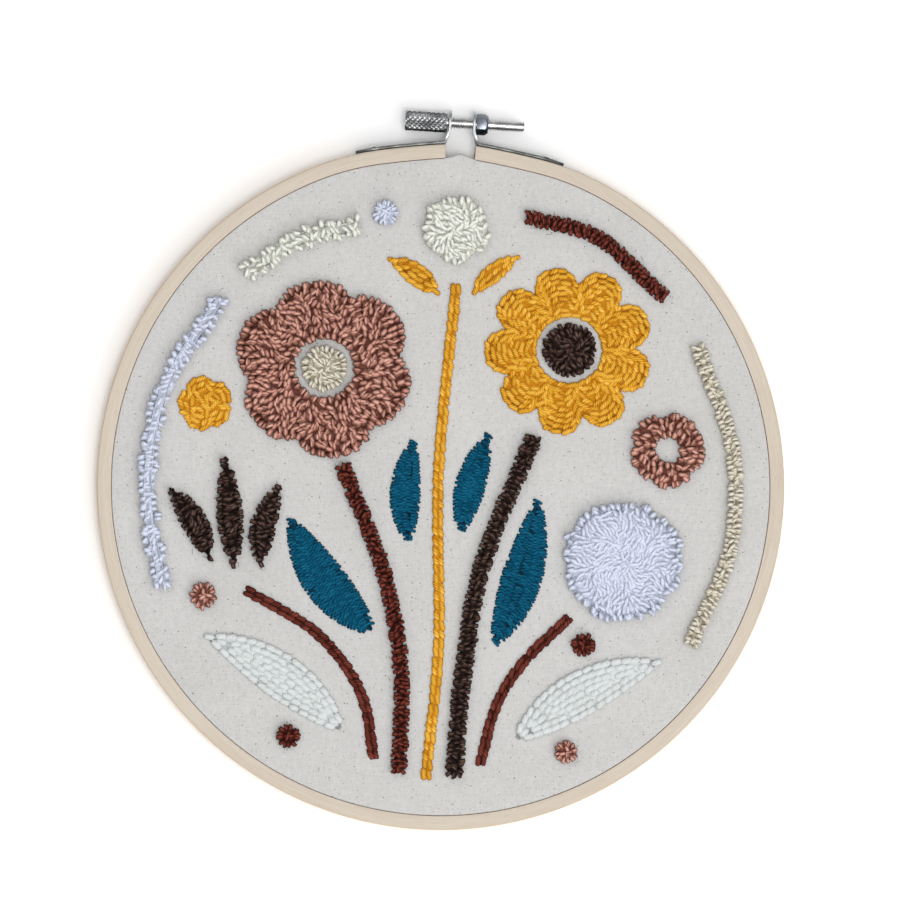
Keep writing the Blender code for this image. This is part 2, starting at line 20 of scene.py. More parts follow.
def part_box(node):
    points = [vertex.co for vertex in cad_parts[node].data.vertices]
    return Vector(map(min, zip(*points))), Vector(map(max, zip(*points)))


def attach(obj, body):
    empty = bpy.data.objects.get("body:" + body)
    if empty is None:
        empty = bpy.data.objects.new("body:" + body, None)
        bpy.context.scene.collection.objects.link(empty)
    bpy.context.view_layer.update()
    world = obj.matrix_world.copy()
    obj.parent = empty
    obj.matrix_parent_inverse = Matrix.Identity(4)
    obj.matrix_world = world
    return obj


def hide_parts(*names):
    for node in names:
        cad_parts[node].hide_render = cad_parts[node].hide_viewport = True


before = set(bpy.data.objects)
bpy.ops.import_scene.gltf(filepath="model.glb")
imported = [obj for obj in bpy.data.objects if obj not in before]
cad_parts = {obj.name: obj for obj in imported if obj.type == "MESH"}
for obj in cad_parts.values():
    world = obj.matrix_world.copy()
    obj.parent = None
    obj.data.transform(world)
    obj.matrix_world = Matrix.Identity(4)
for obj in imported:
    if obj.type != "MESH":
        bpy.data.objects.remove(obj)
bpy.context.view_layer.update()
MM = 0.001
log = logging.getLogger("hoop_embroidery")

Rgb = tuple[int, int, int]
# Whatever a node's socket or a modifier's setting takes: a number, a colour, a word or a Socket
Setting = object

# The hoop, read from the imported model
RING_LOW, RING_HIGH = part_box("outer_ring")
INNER_LOW, INNER_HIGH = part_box("inner_ring")
CLOTH_LOW, CLOTH_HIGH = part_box("cloth")
HOOP_R = (RING_HIGH.x - RING_LOW.x) / 2
HOOP_Y = RING_LOW.y + HOOP_R
HOOP_MIDDLE = Vector((0, HOOP_Y, 0))
GAP_HALF_ANGLE = math.radians(2.55)
# The flatter stretches beside the gap: how deep, how far round and how wide
FLAT_DEPTH = 0.8 * MM
FLAT_ANGLE = math.radians(9.0)
FLAT_SPREAD = math.radians(8.0)
# How finely rings are cut, the angle from which an edge is sharp, how close two equal places are, and
# how close two points are that are merged
ROUND_STEPS = 240
SMOOTH_ANGLE = math.radians(35)
TOUCH = 0.01 * MM
MERGE_GAP = 0.004 * MM


def linear(rgb: Rgb) -> tuple[float, float, float, float]:
    """Turns a colour of 0 to 255 into Blender's linear values.

    Args:
        rgb: Red, green and blue, 0 to 255.

    Returns:
        Linear red, green and blue, and an alpha of 1.
    """
    shares = [channel / 255 for channel in rgb]
    made = [s / 12.92 if s <= 0.04045 else ((s + 0.055) / 1.055) ** 2.4 for s in shares]
    return made[0], made[1], made[2], 1.0


class Socket:
    """One value of a material's graph, so that maths on it reads as Python."""

    def __init__(self, graph: "Graph", output: bpy.types.NodeSocket) -> None:
        """Keeps the graph and the node's output."""
        self.graph = graph
        self.output = output

    def maths(self, operation: str, first: Setting, second: Setting = 0.0) -> "Socket":
        """Adds a Math node.

        Args:
            operation: The node's operation.
            first: Its first value, a number or a Socket.
            second: Its second value.

        Returns:
            The node's result.
        """
        return self.graph.node("Math", {"operation": operation}, {0: first, 1: second})

    def __add__(self, other: Setting) -> "Socket":
        """Adds a value."""
        return self.maths("ADD", self, other)

    __radd__ = __add__

    def __sub__(self, other: Setting) -> "Socket":
        """Takes a value away."""
        return self.maths("SUBTRACT", self, other)

    def __rsub__(self, other: Setting) -> "Socket":
        """Is taken away from a value."""
        return self.maths("SUBTRACT", other, self)

    def __mul__(self, other: Setting) -> "Socket":
        """Multiplies by a value."""
        return self.maths("MULTIPLY", self, other)

    __rmul__ = __mul__

    def __truediv__(self, other: Setting) -> "Socket":
        """Divides by a value."""
        return self.maths("DIVIDE", self, other)

    def __rtruediv__(self, other: Setting) -> "Socket":
        """Divides a value."""
        return self.maths("DIVIDE", other, self)

    def __pow__(self, other: Setting) -> "Socket":
        """Raises to a power."""
        return self.maths("POWER", self, other)

    def __gt__(self, other: Setting) -> "Socket":
        """Is 1 where it is over a value, and 0 elsewhere."""
        return self.maths("GREATER_THAN", self, other)

    def __abs__(self) -> "Socket":
        """Drops the sign."""
        return self.maths("ABSOLUTE", self)

    def sine(self) -> "Socket":
        """The sine of an angle in radians."""
        return self.maths("SINE", self)

    def between(self, low: float, high: float) -> "Socket":
        """Turns the range from low to high into 0 to 1, eased at both ends.

        Args:
            low: The value that becomes 0.
            high: The value that becomes 1.

        Returns:
            The eased value.
        """
        settings = {"interpolation_type": "SMOOTHSTEP"}
        sockets = {"Value": self, "From Min": low, "From Max": high}
        return self.graph.node("MapRange", settings, sockets)


class Graph:
    """A material and its node tree, with one method that adds any node."""

    def __init__(self, name: str, **constants: Setting) -> None:
        """Starts a material on a Principled shader.

        Args:
            name: The material's name.
            constants: Values of the shader's own sockets, by socket name with _ for a space.
        """
        self.material = bpy.data.materials.new(name)
        self.material.use_nodes = True
        self.tree = self.material.node_tree
        self.shader = self.tree.nodes["Principled BSDF"]
        for socket, value in constants.items():
            self.shader.inputs[socket.replace("_", " ")].default_value = value

    def put(self, socket: bpy.types.NodeSocket, value: Setting) -> None:
        """Links a Socket to a node's input, or sets it to a value.

        Args:
            socket: The node's input.
            value: What it gets.
        """
        if isinstance(value, Socket):
            self.tree.links.new(value.output, socket)
        else:
            socket.default_value = value

    def node(
        self, kind: str, settings: dict | None = None, sockets: dict | None = None, out: Setting = 0
    ) -> Socket:
        """Adds a shader node.

        Args:
            kind: The node's type, without ShaderNode.
            settings: Its own settings, and for a ramp its stops as (place, colour).
            sockets: Values or links of its inputs, by name or number.
            out: The name or number of the output that is wanted.

        Returns:
            That output.
        """
        made = self.tree.nodes.new("ShaderNode" + kind)
        for name, value in (settings or {}).items():
            if name == "stops":
                self.set_stops(made, value)
            else:
                setattr(made, name, value)
        for name, value in (sockets or {}).items():
            self.put(made.inputs[name], value)
        return Socket(self, made.outputs[out])

    def set_stops(self, ramp: bpy.types.Node, stops: list) -> None:
        """Gives a ramp its stops.

        Args:
            ramp: The ramp's node.
            stops: Its stops, each (place, colour).
        """
        elements = ramp.color_ramp.elements
        while len(elements) < len(stops):
            elements.new(1.0)
        for element, (place, rgb) in zip(elements, stops):
            element.position = place
            element.color = linear(rgb)

    def mix(self, under: Setting, over: Setting, share: Setting) -> Socket:
        """Mixes two colours.

        Args:
            under: The colour at a share of 0.
            over: The colour at a share of 1.
            share: How much of the second colour shows.

        Returns:
            The mixed colour.
        """
        # The Mix node's colours are its inputs 6 and 7 and its output 2
        return self.node("Mix", {"data_type": "RGBA"}, {0: share, 6: under, 7: over}, out=2)

    def place(self) -> Socket:
        """Reads the place on the piece.

        Returns:
            A vector in millimetres from the middle of the hoop.
        """
        here = self.node("TexCoord", out="Object")
        sockets = {"Vector": here, "Location": (0, -HOOP_Y / MM, 0), "Scale": (1 / MM, 1 / MM, 1 / MM)}
        return self.node("Mapping", {"vector_type": "POINT"}, sockets)

    def parts(self, vector: Socket) -> tuple[Socket, Socket, Socket]:
        """Splits a vector.

        Args:
            vector: The vector.

        Returns:
            Its three values.
        """
        made = self.tree.nodes.new("ShaderNodeSeparateXYZ")
        self.put(made.inputs[0], vector)
        x, y, z = (Socket(self, output) for output in made.outputs)
        return x, y, z

    def vector(self, x: Setting, y: Setting, z: Setting) -> Socket:
        """Joins three values into a vector."""
        return self.node("CombineXYZ", None, {0: x, 1: y, 2: z})

    def stretched(self, vector: Socket, x: float, y: float, z: float) -> Socket:
        """Scales a vector along its three axes."""
        return self.node("Mapping", None, {"Vector": vector, "Scale": (x, y, z)})

    def noise(self, vector: Socket, detail: float = 2.0, scale: float = 1.0) -> Socket:
        """Soft noise of about 0 to 1 over a vector.

        Args:
            vector: Where it is read.
            detail: How many finer layers it has.
            scale: Its waves in one unit of the vector.

        Returns:
            The noise.
        """
        return self.node("TexNoise", None, {"Vector": vector, "Scale": scale, "Detail": detail})

    def attribute(self, name: str, out: str = "Fac") -> Socket:
        """A value that the mesh carries."""
        return self.node("Attribute", {"attribute_name": name}, out=out)

    def raise_by(self, height: Socket, strength: float, distance: float) -> None:
        """Feeds a height, 0 to 1 for a distance in metres, to the shader as a bump."""
        sockets = {"Height": height, "Strength": strength, "Distance": distance}
        self.put(self.shader.inputs["Normal"], self.node("Bump", None, sockets))

    def finish(self, **links: Setting) -> bpy.types.Material:
        """Feeds the shader's sockets.

        Args:
            links: What feeds them, by socket name with _ for a space.

        Returns:
            The material.
        """
        for socket, value in links.items():
            self.put(self.shader.inputs[socket.replace("_", " ")], value)
        return self.material


@dataclass(frozen=True)
class Wood:
    """Bare pale wood, its grain running round the ring."""

    name: str
    pale: Rgb
    body: Rgb
    streak: Rgb
    # Painted reflection of a brown surface, with painted shade, on the ring's outer side
    rim: Rgb
    # Painted shade on the ring's inner wall, in the gap where the cloth meets it
    painted_gap_shade: Rgb
    rim_radius: float
    depth: float

    def made(self) -> bpy.types.Material:
        """Makes the material.

        Returns:
            The material, with long grain, short dark rays, a painted reflection of a brown surface with painted
            shade on the outer side, and painted shade on the inner wall where the cloth meets the ring.
        """
        graph = Graph(self.name, Roughness=0.62, Specular_IOR_Level=0.3)
        x, y, z = graph.parts(graph.place())
        radius = (x * x + y * y) ** 0.5
        along = graph.node("Math", {"operation": "ARCTAN2"}, {0: x, 1: 0.0 - y}) * (HOOP_R / MM)

        def streaks(length: float, width: float, detail: float = 2.0, start: float = 0.0) -> Socket:
            """Noise drawn out along the grain, its length and width in millimetres."""
            return graph.noise(graph.vector(along / length + start, radius / width, z / width), detail)

        grain, fine, broad = streaks(16.0, 0.7, 4.0), streaks(3.5, 0.22), streaks(60.0, 4.0)
        rays = streaks(1.1, 0.16, 1.0, 40.0).between(0.66, 0.74)
        body = (grain * 0.9 + broad * 0.6 - 0.25).between(0.2, 0.8)
        colour = graph.mix(linear(self.pale), linear(self.body), body)
        colour = graph.mix(colour, linear(self.streak), fine.between(0.55, 0.75) * 0.35)
        colour = graph.mix(colour, linear(self.streak), rays * 0.5)
        rim, depth = self.rim_radius / MM, self.depth / MM
        # Painted reflection and shade: the outermost third of a millimetre of the ring turns warm tan, a brown
        # surface reflected in its shaded outer side
        colour = graph.mix(colour, linear(self.rim), radius.between(rim - 0.35, rim - 0.05) * 0.85)
        # Painted shade: inside the ring and below its top face, the wood is darkened to the gap's shade where
        # the cloth meets it
        inside = 1.0 - radius.between(rim - 3.0, rim - 2.0)
        below = 1.0 - z.between(depth - 0.3, depth - 0.08)
        colour = graph.mix(colour, linear(self.painted_gap_shade), inside * below)
        graph.raise_by(grain * 0.4 + fine * 0.6 - rays * 0.4, 0.35, 0.1 * MM)
        return graph.finish(Base_Color=colour)


@dataclass(frozen=True)
class Calico:
    """Unbleached plain weave with seed flecks."""

    name: str
    pale: Rgb
    body: Rgb
    fleck: Rgb
    thread_pitch: float

    def made(self) -> bpy.types.Material:
        """Makes the material.

        Returns:
            The material, with its threads as bump, thick and thin threads as colour, and painted shade where
            the woven threads dip.
        """
        graph = Graph(self.name, Roughness=0.95, Specular_IOR_Level=0.15, Sheen_Weight=0.12)
        here = graph.place()
        wobble = graph.noise(graph.stretched(here, 0.09, 0.09, 0.09), 2.0) * 1.6
        x, y, _ = graph.parts(here)
        across, down = x + wobble, y + wobble
        waves = math.pi / (self.thread_pitch / MM)
        warp, weft = (across * waves).sine(), (down * waves).sine()
        on_top = (warp * weft) > 0.0
        warp_top = abs(warp) * abs(weft) ** 0.4
        weft_top = abs(weft) * abs(warp) ** 0.4
        weave = weft_top + on_top * (warp_top - weft_top)
        slub_warp = graph.noise(graph.vector(across / 0.5, down / 5.0, 0.0), 2.0)
        slub_weft = graph.noise(graph.vector(across / 5.0, down / 0.5, 3.0), 2.0)
        thread = slub_weft + on_top * (slub_warp - slub_weft)
        cloudy = graph.noise(graph.stretched(here, 0.05, 0.05, 0.05), 3.0)
        mottled = graph.noise(here, 3.0, 0.8)
        # The weave's crowns are painted lighter and its dips darker, as painted shade between the threads;
        # thick and thin threads, clouds and mottling are the cloth's own tone
        shade = weave * 0.35 + thread * 0.35 + cloudy * 0.3 + mottled * 0.5 - 0.35
        colour = graph.mix(linear(self.body), linear(self.pale), shade.between(0.1, 0.75))
        colour = graph.mix(colour, linear(self.fleck), self.flecks(graph, here, 0.6, 0.15, 0.3, 0.9) * 0.55)
        colour = graph.mix(colour, linear(self.fleck), self.flecks(graph, here, 0.16, 0.045, 0.35, 0.6))
        graph.raise_by(weave * 0.8 + thread * 0.4, 0.55, 0.12 * MM)
        return graph.finish(Base_Color=colour)

    def flecks(
        self, graph: Graph, here: Socket, cells: float, size: float, fewest: float, most: float
    ) -> Socket:
        """Scatters seed flecks, some faint and some dark.

        Args:
            graph: The material's graph.
            here: The place on the cloth in millimetres.
            cells: How many flecks there could be along a millimetre.
            size: Their radius, as a share of the distance between them.
            fewest: The chance value at which a fleck starts to show.
            most: The chance value at which it is at its darkest.

        Returns:
            How much of the fleck's colour shows.
        """
        sockets = {"Vector": graph.stretched(here, cells, cells * 1.3, cells), "Scale": 1.0}
        settings = {"voronoi_dimensions": "2D"}
        away = graph.node("TexVoronoi", settings, sockets, out="Distance")
        chance = graph.node("TexVoronoi", settings, sockets, out="Color")
        return (1.0 - away.between(size * 0.4, size)) * chance.between(fewest, most)


@dataclass(frozen=True)
class YarnFinish:
    """A plied yarn, with a painted highlight along the crests of its loops and painted shade at their roots."""

    name: str
    # The first colour is the painted highlight of the crests, the second the yarn's own colour, and the third
    # painted shade for the roots
    light: Rgb
    body: Rgb
    root_shade: Rgb
    fuzz: float = 0.02

    def made(self) -> bpy.types.Material:
        """Makes the material.

        Returns:
            The material, with fibres that follow the strand.
        """
        fuzzy = {"Sheen_Weight": self.fuzz, "Sheen_Roughness": 0.5}
        graph = Graph(self.name + "_yarn", Roughness=0.9, Specular_IOR_Level=0.1, **fuzzy)
        depth, tone = graph.attribute("depth"), graph.attribute("tone")
        strand = graph.attribute("straight", "Vector")
        fibres = graph.noise(graph.stretched(strand, 7.0, 7.0, 0.8), 3.0)
        patches = graph.noise(graph.stretched(strand, 1.2, 1.2, 0.6), 1.0)
        # Painted light: the depth value runs the colour from painted shade at the roots, in the grooves and on
        # slopes facing away, to a painted highlight on the crests
        shade = depth * 0.85 + (tone - 0.5) * 0.3 + (fibres - 0.5) * 0.55 + (patches - 0.5) * 0.2
        stops = [(0.05, self.root_shade), (0.5, self.body), (0.95, self.light)]
        colour = graph.node("ValToRGB", {"stops": stops}, {"Fac": shade})
        graph.raise_by(fibres, 0.5, 0.15 * MM)
        return graph.finish(Base_Color=colour)


@dataclass(frozen=True)
class Steel:
    """Plated steel with uneven polish and dull smudges."""

    name: str
    bright: Rgb
    dull: Rgb
    smudge: Rgb
    roughness: float
    # Painted highlight: a lighter colour for the steel past a radius, where the lugs stand beyond the ring
    painted_lug_highlight: Rgb | None = None
    lug_highlight_from: float = 0.0

    def made(self) -> bpy.types.Material:
        """Makes the material.

        Returns:
            The material.
        """
        graph = Graph(self.name, Metallic=1.0)
        here = graph.place()
        broad = graph.noise(graph.stretched(here, 0.25, 0.25, 0.25), 3.0)
        fine = graph.noise(graph.stretched(here, 4.0, 9.0, 9.0), 3.0)
        colour = graph.mix(linear(self.bright), linear(self.dull), broad.between(0.35, 0.7))
        colour = graph.mix(colour, linear(self.smudge), fine.between(0.55, 0.8) * 0.6)
        # Painted highlight on the lugs past the ring's edge
        if self.painted_lug_highlight:
            x, y, _ = graph.parts(here)
            edge = self.lug_highlight_from / MM
            beyond = ((x * x + y * y) ** 0.5).between(edge, edge + 1.5)
            colour = graph.mix(colour, linear(self.painted_lug_highlight), beyond * (1.0 - fine * 0.5))
        rough = broad * 0.25 + fine * 0.15 + (self.roughness - 0.2)
        graph.raise_by(fine, 0.3, 0.05 * MM)
        return graph.finish(Base_Color=colour, Roughness=rough)


YARNS = {
    finish.name: finish
    for finish in (
        YarnFinish("rust", (132, 66, 54), (100, 45, 35), (50, 14, 8)),
        YarnFinish("dark_brown", (108, 87, 78), (66, 47, 40), (28, 14, 10)),
        YarnFinish("mustard", (242, 194, 88), (220, 162, 44), (178, 110, 12)),
        YarnFinish("lilac_white", (212, 218, 234), (211, 217, 233), (208, 214, 232), 0.25),
        YarnFinish("rose", (228, 176, 160), (180, 128, 113), (112, 64, 51)),
        YarnFinish("teal", (28, 106, 134), (0, 82, 112), (0, 44, 64)),
        YarnFinish("cream", (226, 220, 207), (218, 211, 194), (200, 190, 166), 0.15),
        YarnFinish("mint_white", (212, 216, 218), (208, 212, 212), (198, 202, 200), 0.15),
        YarnFinish("ivory", (230, 231, 224), (229, 230, 221), (225, 225, 210), 0.25),
        YarnFinish("red_brown", (138, 68, 56), (102, 44, 33), (50, 12, 7)),
    )
}


@contextmanager
def editing(piece: bpy.types.Object) -> Iterator[None]:
    """Opens a piece alone in edit mode, with nothing of it selected.

    Args:
        piece: The mesh object.

    Returns:
        A context that ends back in object mode.
    """
    alone(piece)
    bpy.ops.object.mode_set(mode="EDIT")
    bpy.ops.mesh.select_all(action="DESELECT")
    yield
    bpy.ops.object.mode_set(mode="OBJECT")


def alone(piece: bpy.types.Object) -> None:
    """Selects one object and nothing else.

    Args:
        piece: The object.
    """
    bpy.ops.object.select_all(action="DESELECT")
    piece.select_set(True)
    bpy.context.view_layer.objects.active = piece


def pick(kind: str, test: Callable[[Vector], bool]) -> None:
    """Selects what passes a test, in edit mode.

    Args:
        kind: VERT, EDGE or FACE.
        test: Takes a vertex's place or the middle of an edge or face.
    """
    bpy.ops.mesh.select_mode(type=kind)
    bpy.ops.mesh.select_all(action="DESELECT")
    mesh = bpy.context.object.data
    shape = bmesh.from_edit_mesh(mesh)
    if kind == "VERT":
        found = [v for v in shape.verts if test(v.co)]
    elif kind == "EDGE":
        found = [e for e in shape.edges if test((e.verts[0].co + e.verts[1].co) / 2)]
    else:
        found = [f for f in shape.faces if test(f.calc_center_median())]
    for item in found:
        item.select_set(True)
    shape.select_flush_mode()
    bmesh.update_edit_mesh(mesh)


def apply(piece: bpy.types.Object, kind: str, **settings: Setting) -> None:
    """Adds a modifier to a piece and applies it.

    Args:
        piece: The mesh object.
        kind: The modifier's type.
        settings: Its settings.
    """
    alone(piece)
    made = piece.modifiers.new(kind.title(), kind)
    for name, value in settings.items():
        setattr(made, name, value)
    bpy.ops.object.modifier_apply(modifier=made.name)


def settle(piece: bpy.types.Object) -> None:
    """Moves an object's place, turn and size into its mesh."""
    alone(piece)
    bpy.ops.object.transform_apply(location=True, rotation=True, scale=True)


def flattening(angle: float) -> float:
    """How far a ring is drawn in at an angle from the middle of the gap."""
    away = abs((angle + math.pi) % (2 * math.pi) - math.pi)
    return FLAT_DEPTH * math.exp(-(((away - FLAT_ANGLE) / FLAT_SPREAD) ** 2))


def ease_round(piece: bpy.types.Object, start: float = 0.0) -> None:
    """Draws a ring or the cloth in beside the gap.

    Args:
        piece: The mesh object.
        start: The radius where it begins, growing to its full depth at the hoop's edge.
    """
    for vertex in piece.data.vertices:
        x, y = vertex.co.x, vertex.co.y - HOOP_Y
        radius = math.hypot(x, y)
        if radius > start:
            share = min(1.0, (radius - start) / (INNER_HIGH.x - start))
            drawn = 1 - share * flattening(math.atan2(x, y)) / radius
            vertex.co.x = x * drawn
            vertex.co.y = y * drawn + HOOP_Y


def smooth_by_angle(piece: bpy.types.Object) -> None:
    """Shades a piece smooth but for its sharp edges."""
    alone(piece)
    bpy.ops.object.shade_smooth_by_angle(angle=SMOOTH_ANGLE)


def read_points(piece: bpy.types.Object, name: str) -> np.ndarray:
    """Reads a mesh's points.

    Args:
        piece: The mesh object.
        name: co for their places or normal for their normals.

    Returns:
        A row of three numbers for each point.
    """
    flat = np.empty(len(piece.data.vertices) * 3)
    piece.data.vertices.foreach_get(name, flat)
    return flat.reshape(-1, 3)


def taken_apart(piece: bpy.types.Object) -> list[tuple[int, ...]]:
    """Deletes a piece that was only a model for others.

    Args:
        piece: The mesh object.

    Returns:
        The faces that it had, as the numbers of their points.
    """
    faces = [tuple(face.vertices) for face in piece.data.polygons]
    mesh = piece.data
    bpy.data.objects.remove(piece)
    bpy.data.meshes.remove(mesh)
    return faces


def mend_faces() -> None:
    """Merges doubles and turns faces outwards, in edit mode."""
    bpy.ops.mesh.select_mode(type="VERT")
    bpy.ops.mesh.select_all(action="SELECT")
    bpy.ops.mesh.remove_doubles(threshold=MERGE_GAP)
    bpy.ops.mesh.normals_make_consistent(inside=False)


def softened_copy(node: str, width: float) -> bpy.types.Object:
    """Copies a node's solid and rounds its edges.

    Args:
        node: The node's name.
        width: The width of the rounded edges.

    Returns:
        The copy, which stands for the node.
    """
    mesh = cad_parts[node].data.copy()
    mesh.materials.clear()
    piece = bpy.data.objects.new(node + "_piece", mesh)
    bpy.context.scene.collection.objects.link(piece)
    alone(piece)
    if mesh.has_custom_normals:
        bpy.ops.mesh.customdata_custom_splitnormals_clear()
    with editing(piece):
        mend_faces()
        bpy.ops.mesh.dissolve_limited(angle_limit=math.radians(0.5))
    apply(piece, "BEVEL", width=width, segments=2, limit_method="ANGLE", angle_limit=SMOOTH_ANGLE)
    smooth_by_angle(piece)
    return piece


def dress(piece: bpy.types.Object, finish: bpy.types.Material, slot: str, body: str, *nodes: str) -> None:
    """Gives a piece its finish, its body and the nodes that it stands for.

    Args:
        piece: The finished object.
        finish: Its material.
        slot: The name of a material slot, not used.
        body: The body that it rides on.
        nodes: The nodes that it replaces.
    """
    piece.data.materials.clear()
    piece.data.materials.append(finish)
    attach(piece, body)
    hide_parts(*nodes)
    log.info("%s: %d faces, on %s", piece.name, len(piece.data.polygons), body)


@dataclass
class WoodenRings:
    """The split outer ring and the closed inner ring."""

    outer_width: float = 4.3 * MM
    inner_width: float = 4.0 * MM
    outer_round: float = 0.55 * MM
    inner_round: float = 0.12 * MM
    end_round: float = 0.25 * MM
    round_steps: int = 3

    def section(self, name: str, radius: float, width: float, depth: float, angle: float) -> bpy.types.Object:
        """Makes a ring's rounded section, standing at an angle from the middle of the gap.

        Args:
            name: The piece's name.
            radius: The ring's outer radius.
            width: The ring's width.
            depth: The ring's depth.
            angle: Where the section stands, clockwise from the gap.

        Returns:
            An object whose mesh is the section's outline.
        """
        middle = radius - width / 2
        place = (middle * math.sin(angle), HOOP_Y + middle * math.cos(angle), depth / 2)
        bpy.ops.object.select_all(action="DESELECT")
        turn = (math.pi / 2, 0, math.pi / 2 - angle)
        bpy.ops.mesh.primitive_plane_add(size=1, location=place, rotation=turn)
        piece = bpy.context.object
        piece.name = name
        piece.scale = (width, depth, 1)
        settle(piece)
        corners = ((self.outer_round, middle, radius + MM), (self.inner_round, 0.0, middle))
        with editing(piece):
            for offset, low, high in corners:
                pick(
                    "VERT",
                    lambda co: low < math.hypot(co.x, co.y - HOOP_Y) < high and self.is_corner(co, depth),
                )
                bpy.ops.mesh.bevel(offset=offset, segments=self.round_steps, affect="VERTICES", profile=0.5)
            bpy.ops.mesh.select_all(action="SELECT")
            bpy.ops.mesh.delete(type="ONLY_FACE")
        return piece

    def is_corner(self, place: Vector, depth: float) -> bool:
        """Whether a point is still an unrounded corner of the section."""
        return min(place.z, depth - place.z) < 0.001 * MM

    def outer(self) -> bpy.types.Object:
        """Makes the split ring, its ends square and slightly rounded.

        Returns:
            The ring.
        """
        piece = self.section("outer_ring_piece", HOOP_R, self.outer_width, RING_HIGH.z, GAP_HALF_ANGLE)
        sweep = 2 * math.pi - 2 * GAP_HALF_ANGLE
        with editing(piece):
            bpy.ops.mesh.select_all(action="SELECT")
            bpy.ops.mesh.spin(steps=ROUND_STEPS, angle=sweep, center=HOOP_MIDDLE, axis=(0, 0, 1))
            bpy.ops.mesh.select_all(action="SELECT")
            bpy.ops.mesh.fill_holes(sides=0)
            mend_faces()
            edge = GAP_HALF_ANGLE + 0.0001
            pick("EDGE", lambda co: co.y > HOOP_Y and abs(math.atan2(co.x, co.y - HOOP_Y)) < edge)
            bpy.ops.mesh.bevel(offset=self.end_round, segments=2, affect="EDGES")
        ease_round(piece)
        smooth_by_angle(piece)
        return piece

    def inner(self) -> bpy.types.Object:
        """Makes the closed ring.

        Returns:
            The ring.
        """
        radius = (INNER_HIGH.x - INNER_LOW.x) / 2
        piece = self.section("inner_ring_piece", radius, self.inner_width, INNER_HIGH.z, 0.0)
        with editing(piece):
            bpy.ops.mesh.select_all(action="SELECT")
            bpy.ops.mesh.spin(steps=ROUND_STEPS, angle=2 * math.pi, center=HOOP_MIDDLE, axis=(0, 0, 1))
            mend_faces()
        ease_round(piece)
        smooth_by_angle(piece)
        return piece

    def build(self) -> None:
        """Makes and dresses both rings."""
        # Pale, body and streak colours, then the painted reflection on the outer side and the painted shade in
        # the gap to the cloth; the inner ring's last two are its body colour
        pale_shades = (203, 192, 177), (194, 181, 165), (184, 162, 138), (214, 178, 132), (150, 98, 72)
        beech_shades = (218, 203, 176), (204, 186, 155), (168, 142, 106), (204, 186, 155), (204, 186, 155)
        pale = Wood("outer_wood_grain", *pale_shades, HOOP_R, RING_HIGH.z)
        beech = Wood("inner_wood_grain", *beech_shades, HOOP_R, INNER_HIGH.z)
        dress(self.outer(), pale.made(), "outer_wood", "hoop", "outer_ring")
        dress(self.inner(), beech.made(), "inner_wood", "hoop", "inner_ring")


@dataclass
class StretchedCloth:
    """The disc of calico, its edge turned down between the rings."""

    thickness: float = 1.0 * MM
    edge_round: float = 0.35 * MM
    edge_gap: float = 0.1 * MM
    round_steps: int = 3
    ring_steps: int = 34
    bulge: float = 1.1 * MM
    bulge_reach: float = 4 * MM
    eased_from: float = 60 * MM
    unevenness: float = 0.12 * MM
    flat_size: float = 221 * MM

    def surface(self) -> bpy.types.Object:
        """Makes the cloth's outer face from its hem up and in to the middle.

        Returns:
            An open surface.
        """
        radius = HOOP_R - WoodenRings.outer_width - self.edge_gap
        bpy.ops.object.select_all(action="DESELECT")
        hem = (0, HOOP_Y, CLOTH_LOW.z)
        bpy.ops.mesh.primitive_circle_add(
            vertices=ROUND_STEPS, radius=radius, fill_type="NOTHING", location=hem
        )
        piece = bpy.context.object
        piece.name = "cloth_piece"
        settle(piece)
        turns = [i / self.round_steps * math.pi / 2 for i in range(self.round_steps + 1)]
        rings = [(radius - self.edge_round * (1 - math.cos(t)), self.edge_round * math.sin(t)) for t in turns]
        inside = radius - self.edge_round
        rings += [(inside * (1 - i / self.ring_steps), self.edge_round) for i in range(1, self.ring_steps)]
        shoulder = CLOTH_HIGH.z - self.edge_round
        here_r, here_z = radius, CLOTH_LOW.z
        with editing(piece):
            bpy.ops.mesh.select_all(action="SELECT")
            for ring_r, rise in rings:
                step = (0, 0, shoulder + rise - here_z)
                bpy.ops.mesh.extrude_region_move(TRANSFORM_OT_translate={"value": step})
                scale = ring_r / here_r
                bpy.ops.transform.resize(value=(scale, scale, 1), center_override=HOOP_MIDDLE)
                here_r, here_z = ring_r, shoulder + rise
            bpy.ops.mesh.merge(type="CENTER")
            mend_faces()
        return piece

    def shape(self, piece: bpy.types.Object) -> None:
        """Lets the cloth bulge into the hoop's gap and lie a little uneven.

        Args:
            piece: The cloth.
        """
        for vertex in piece.data.vertices:
            x, y = vertex.co.x, vertex.co.y - HOOP_Y
            radius, angle = math.hypot(x, y), math.atan2(x, y)
            inwards = max(0.0, CLOTH_HIGH.x - radius)
            if vertex.co.z > CLOTH_HIGH.z - self.bulge_reach and inwards < self.bulge_reach:
                rough = 1 + 0.35 * math.sin(90 * angle) + 0.2 * math.sin(213 * angle + 1)
                share = math.exp(-((angle / (0.62 * GAP_HALF_ANGLE)) ** 4)) * (1 - inwards / self.bulge_reach)
                grow = 1 + share * self.bulge * rough / radius
                vertex.co.x, vertex.co.y = x * grow, y * grow + HOOP_Y
            wave = math.sin(x / (19 * MM) + 1) * math.sin(y / (23 * MM)) + 0.5 * math.sin((x + y) / (11 * MM))
            vertex.co.z -= self.unevenness * (0.6 + 0.4 * wave) * min(1.0, inwards / (6 * MM))

    def build(self) -> None:
        """Makes, thickens and dresses the cloth."""
        piece = self.surface()
        ease_round(piece, self.eased_from)
        self.shape(piece)
        apply(piece, "SOLIDIFY", thickness=self.thickness, offset=-1)
        alone(piece)
        bpy.ops.object.shade_smooth()
        calico = Calico("calico_weave", (208, 207, 205), (187, 186, 184), (92, 82, 72), 0.42 * MM)
        dress(piece, calico.made(), "calico", "hoop", "cloth")


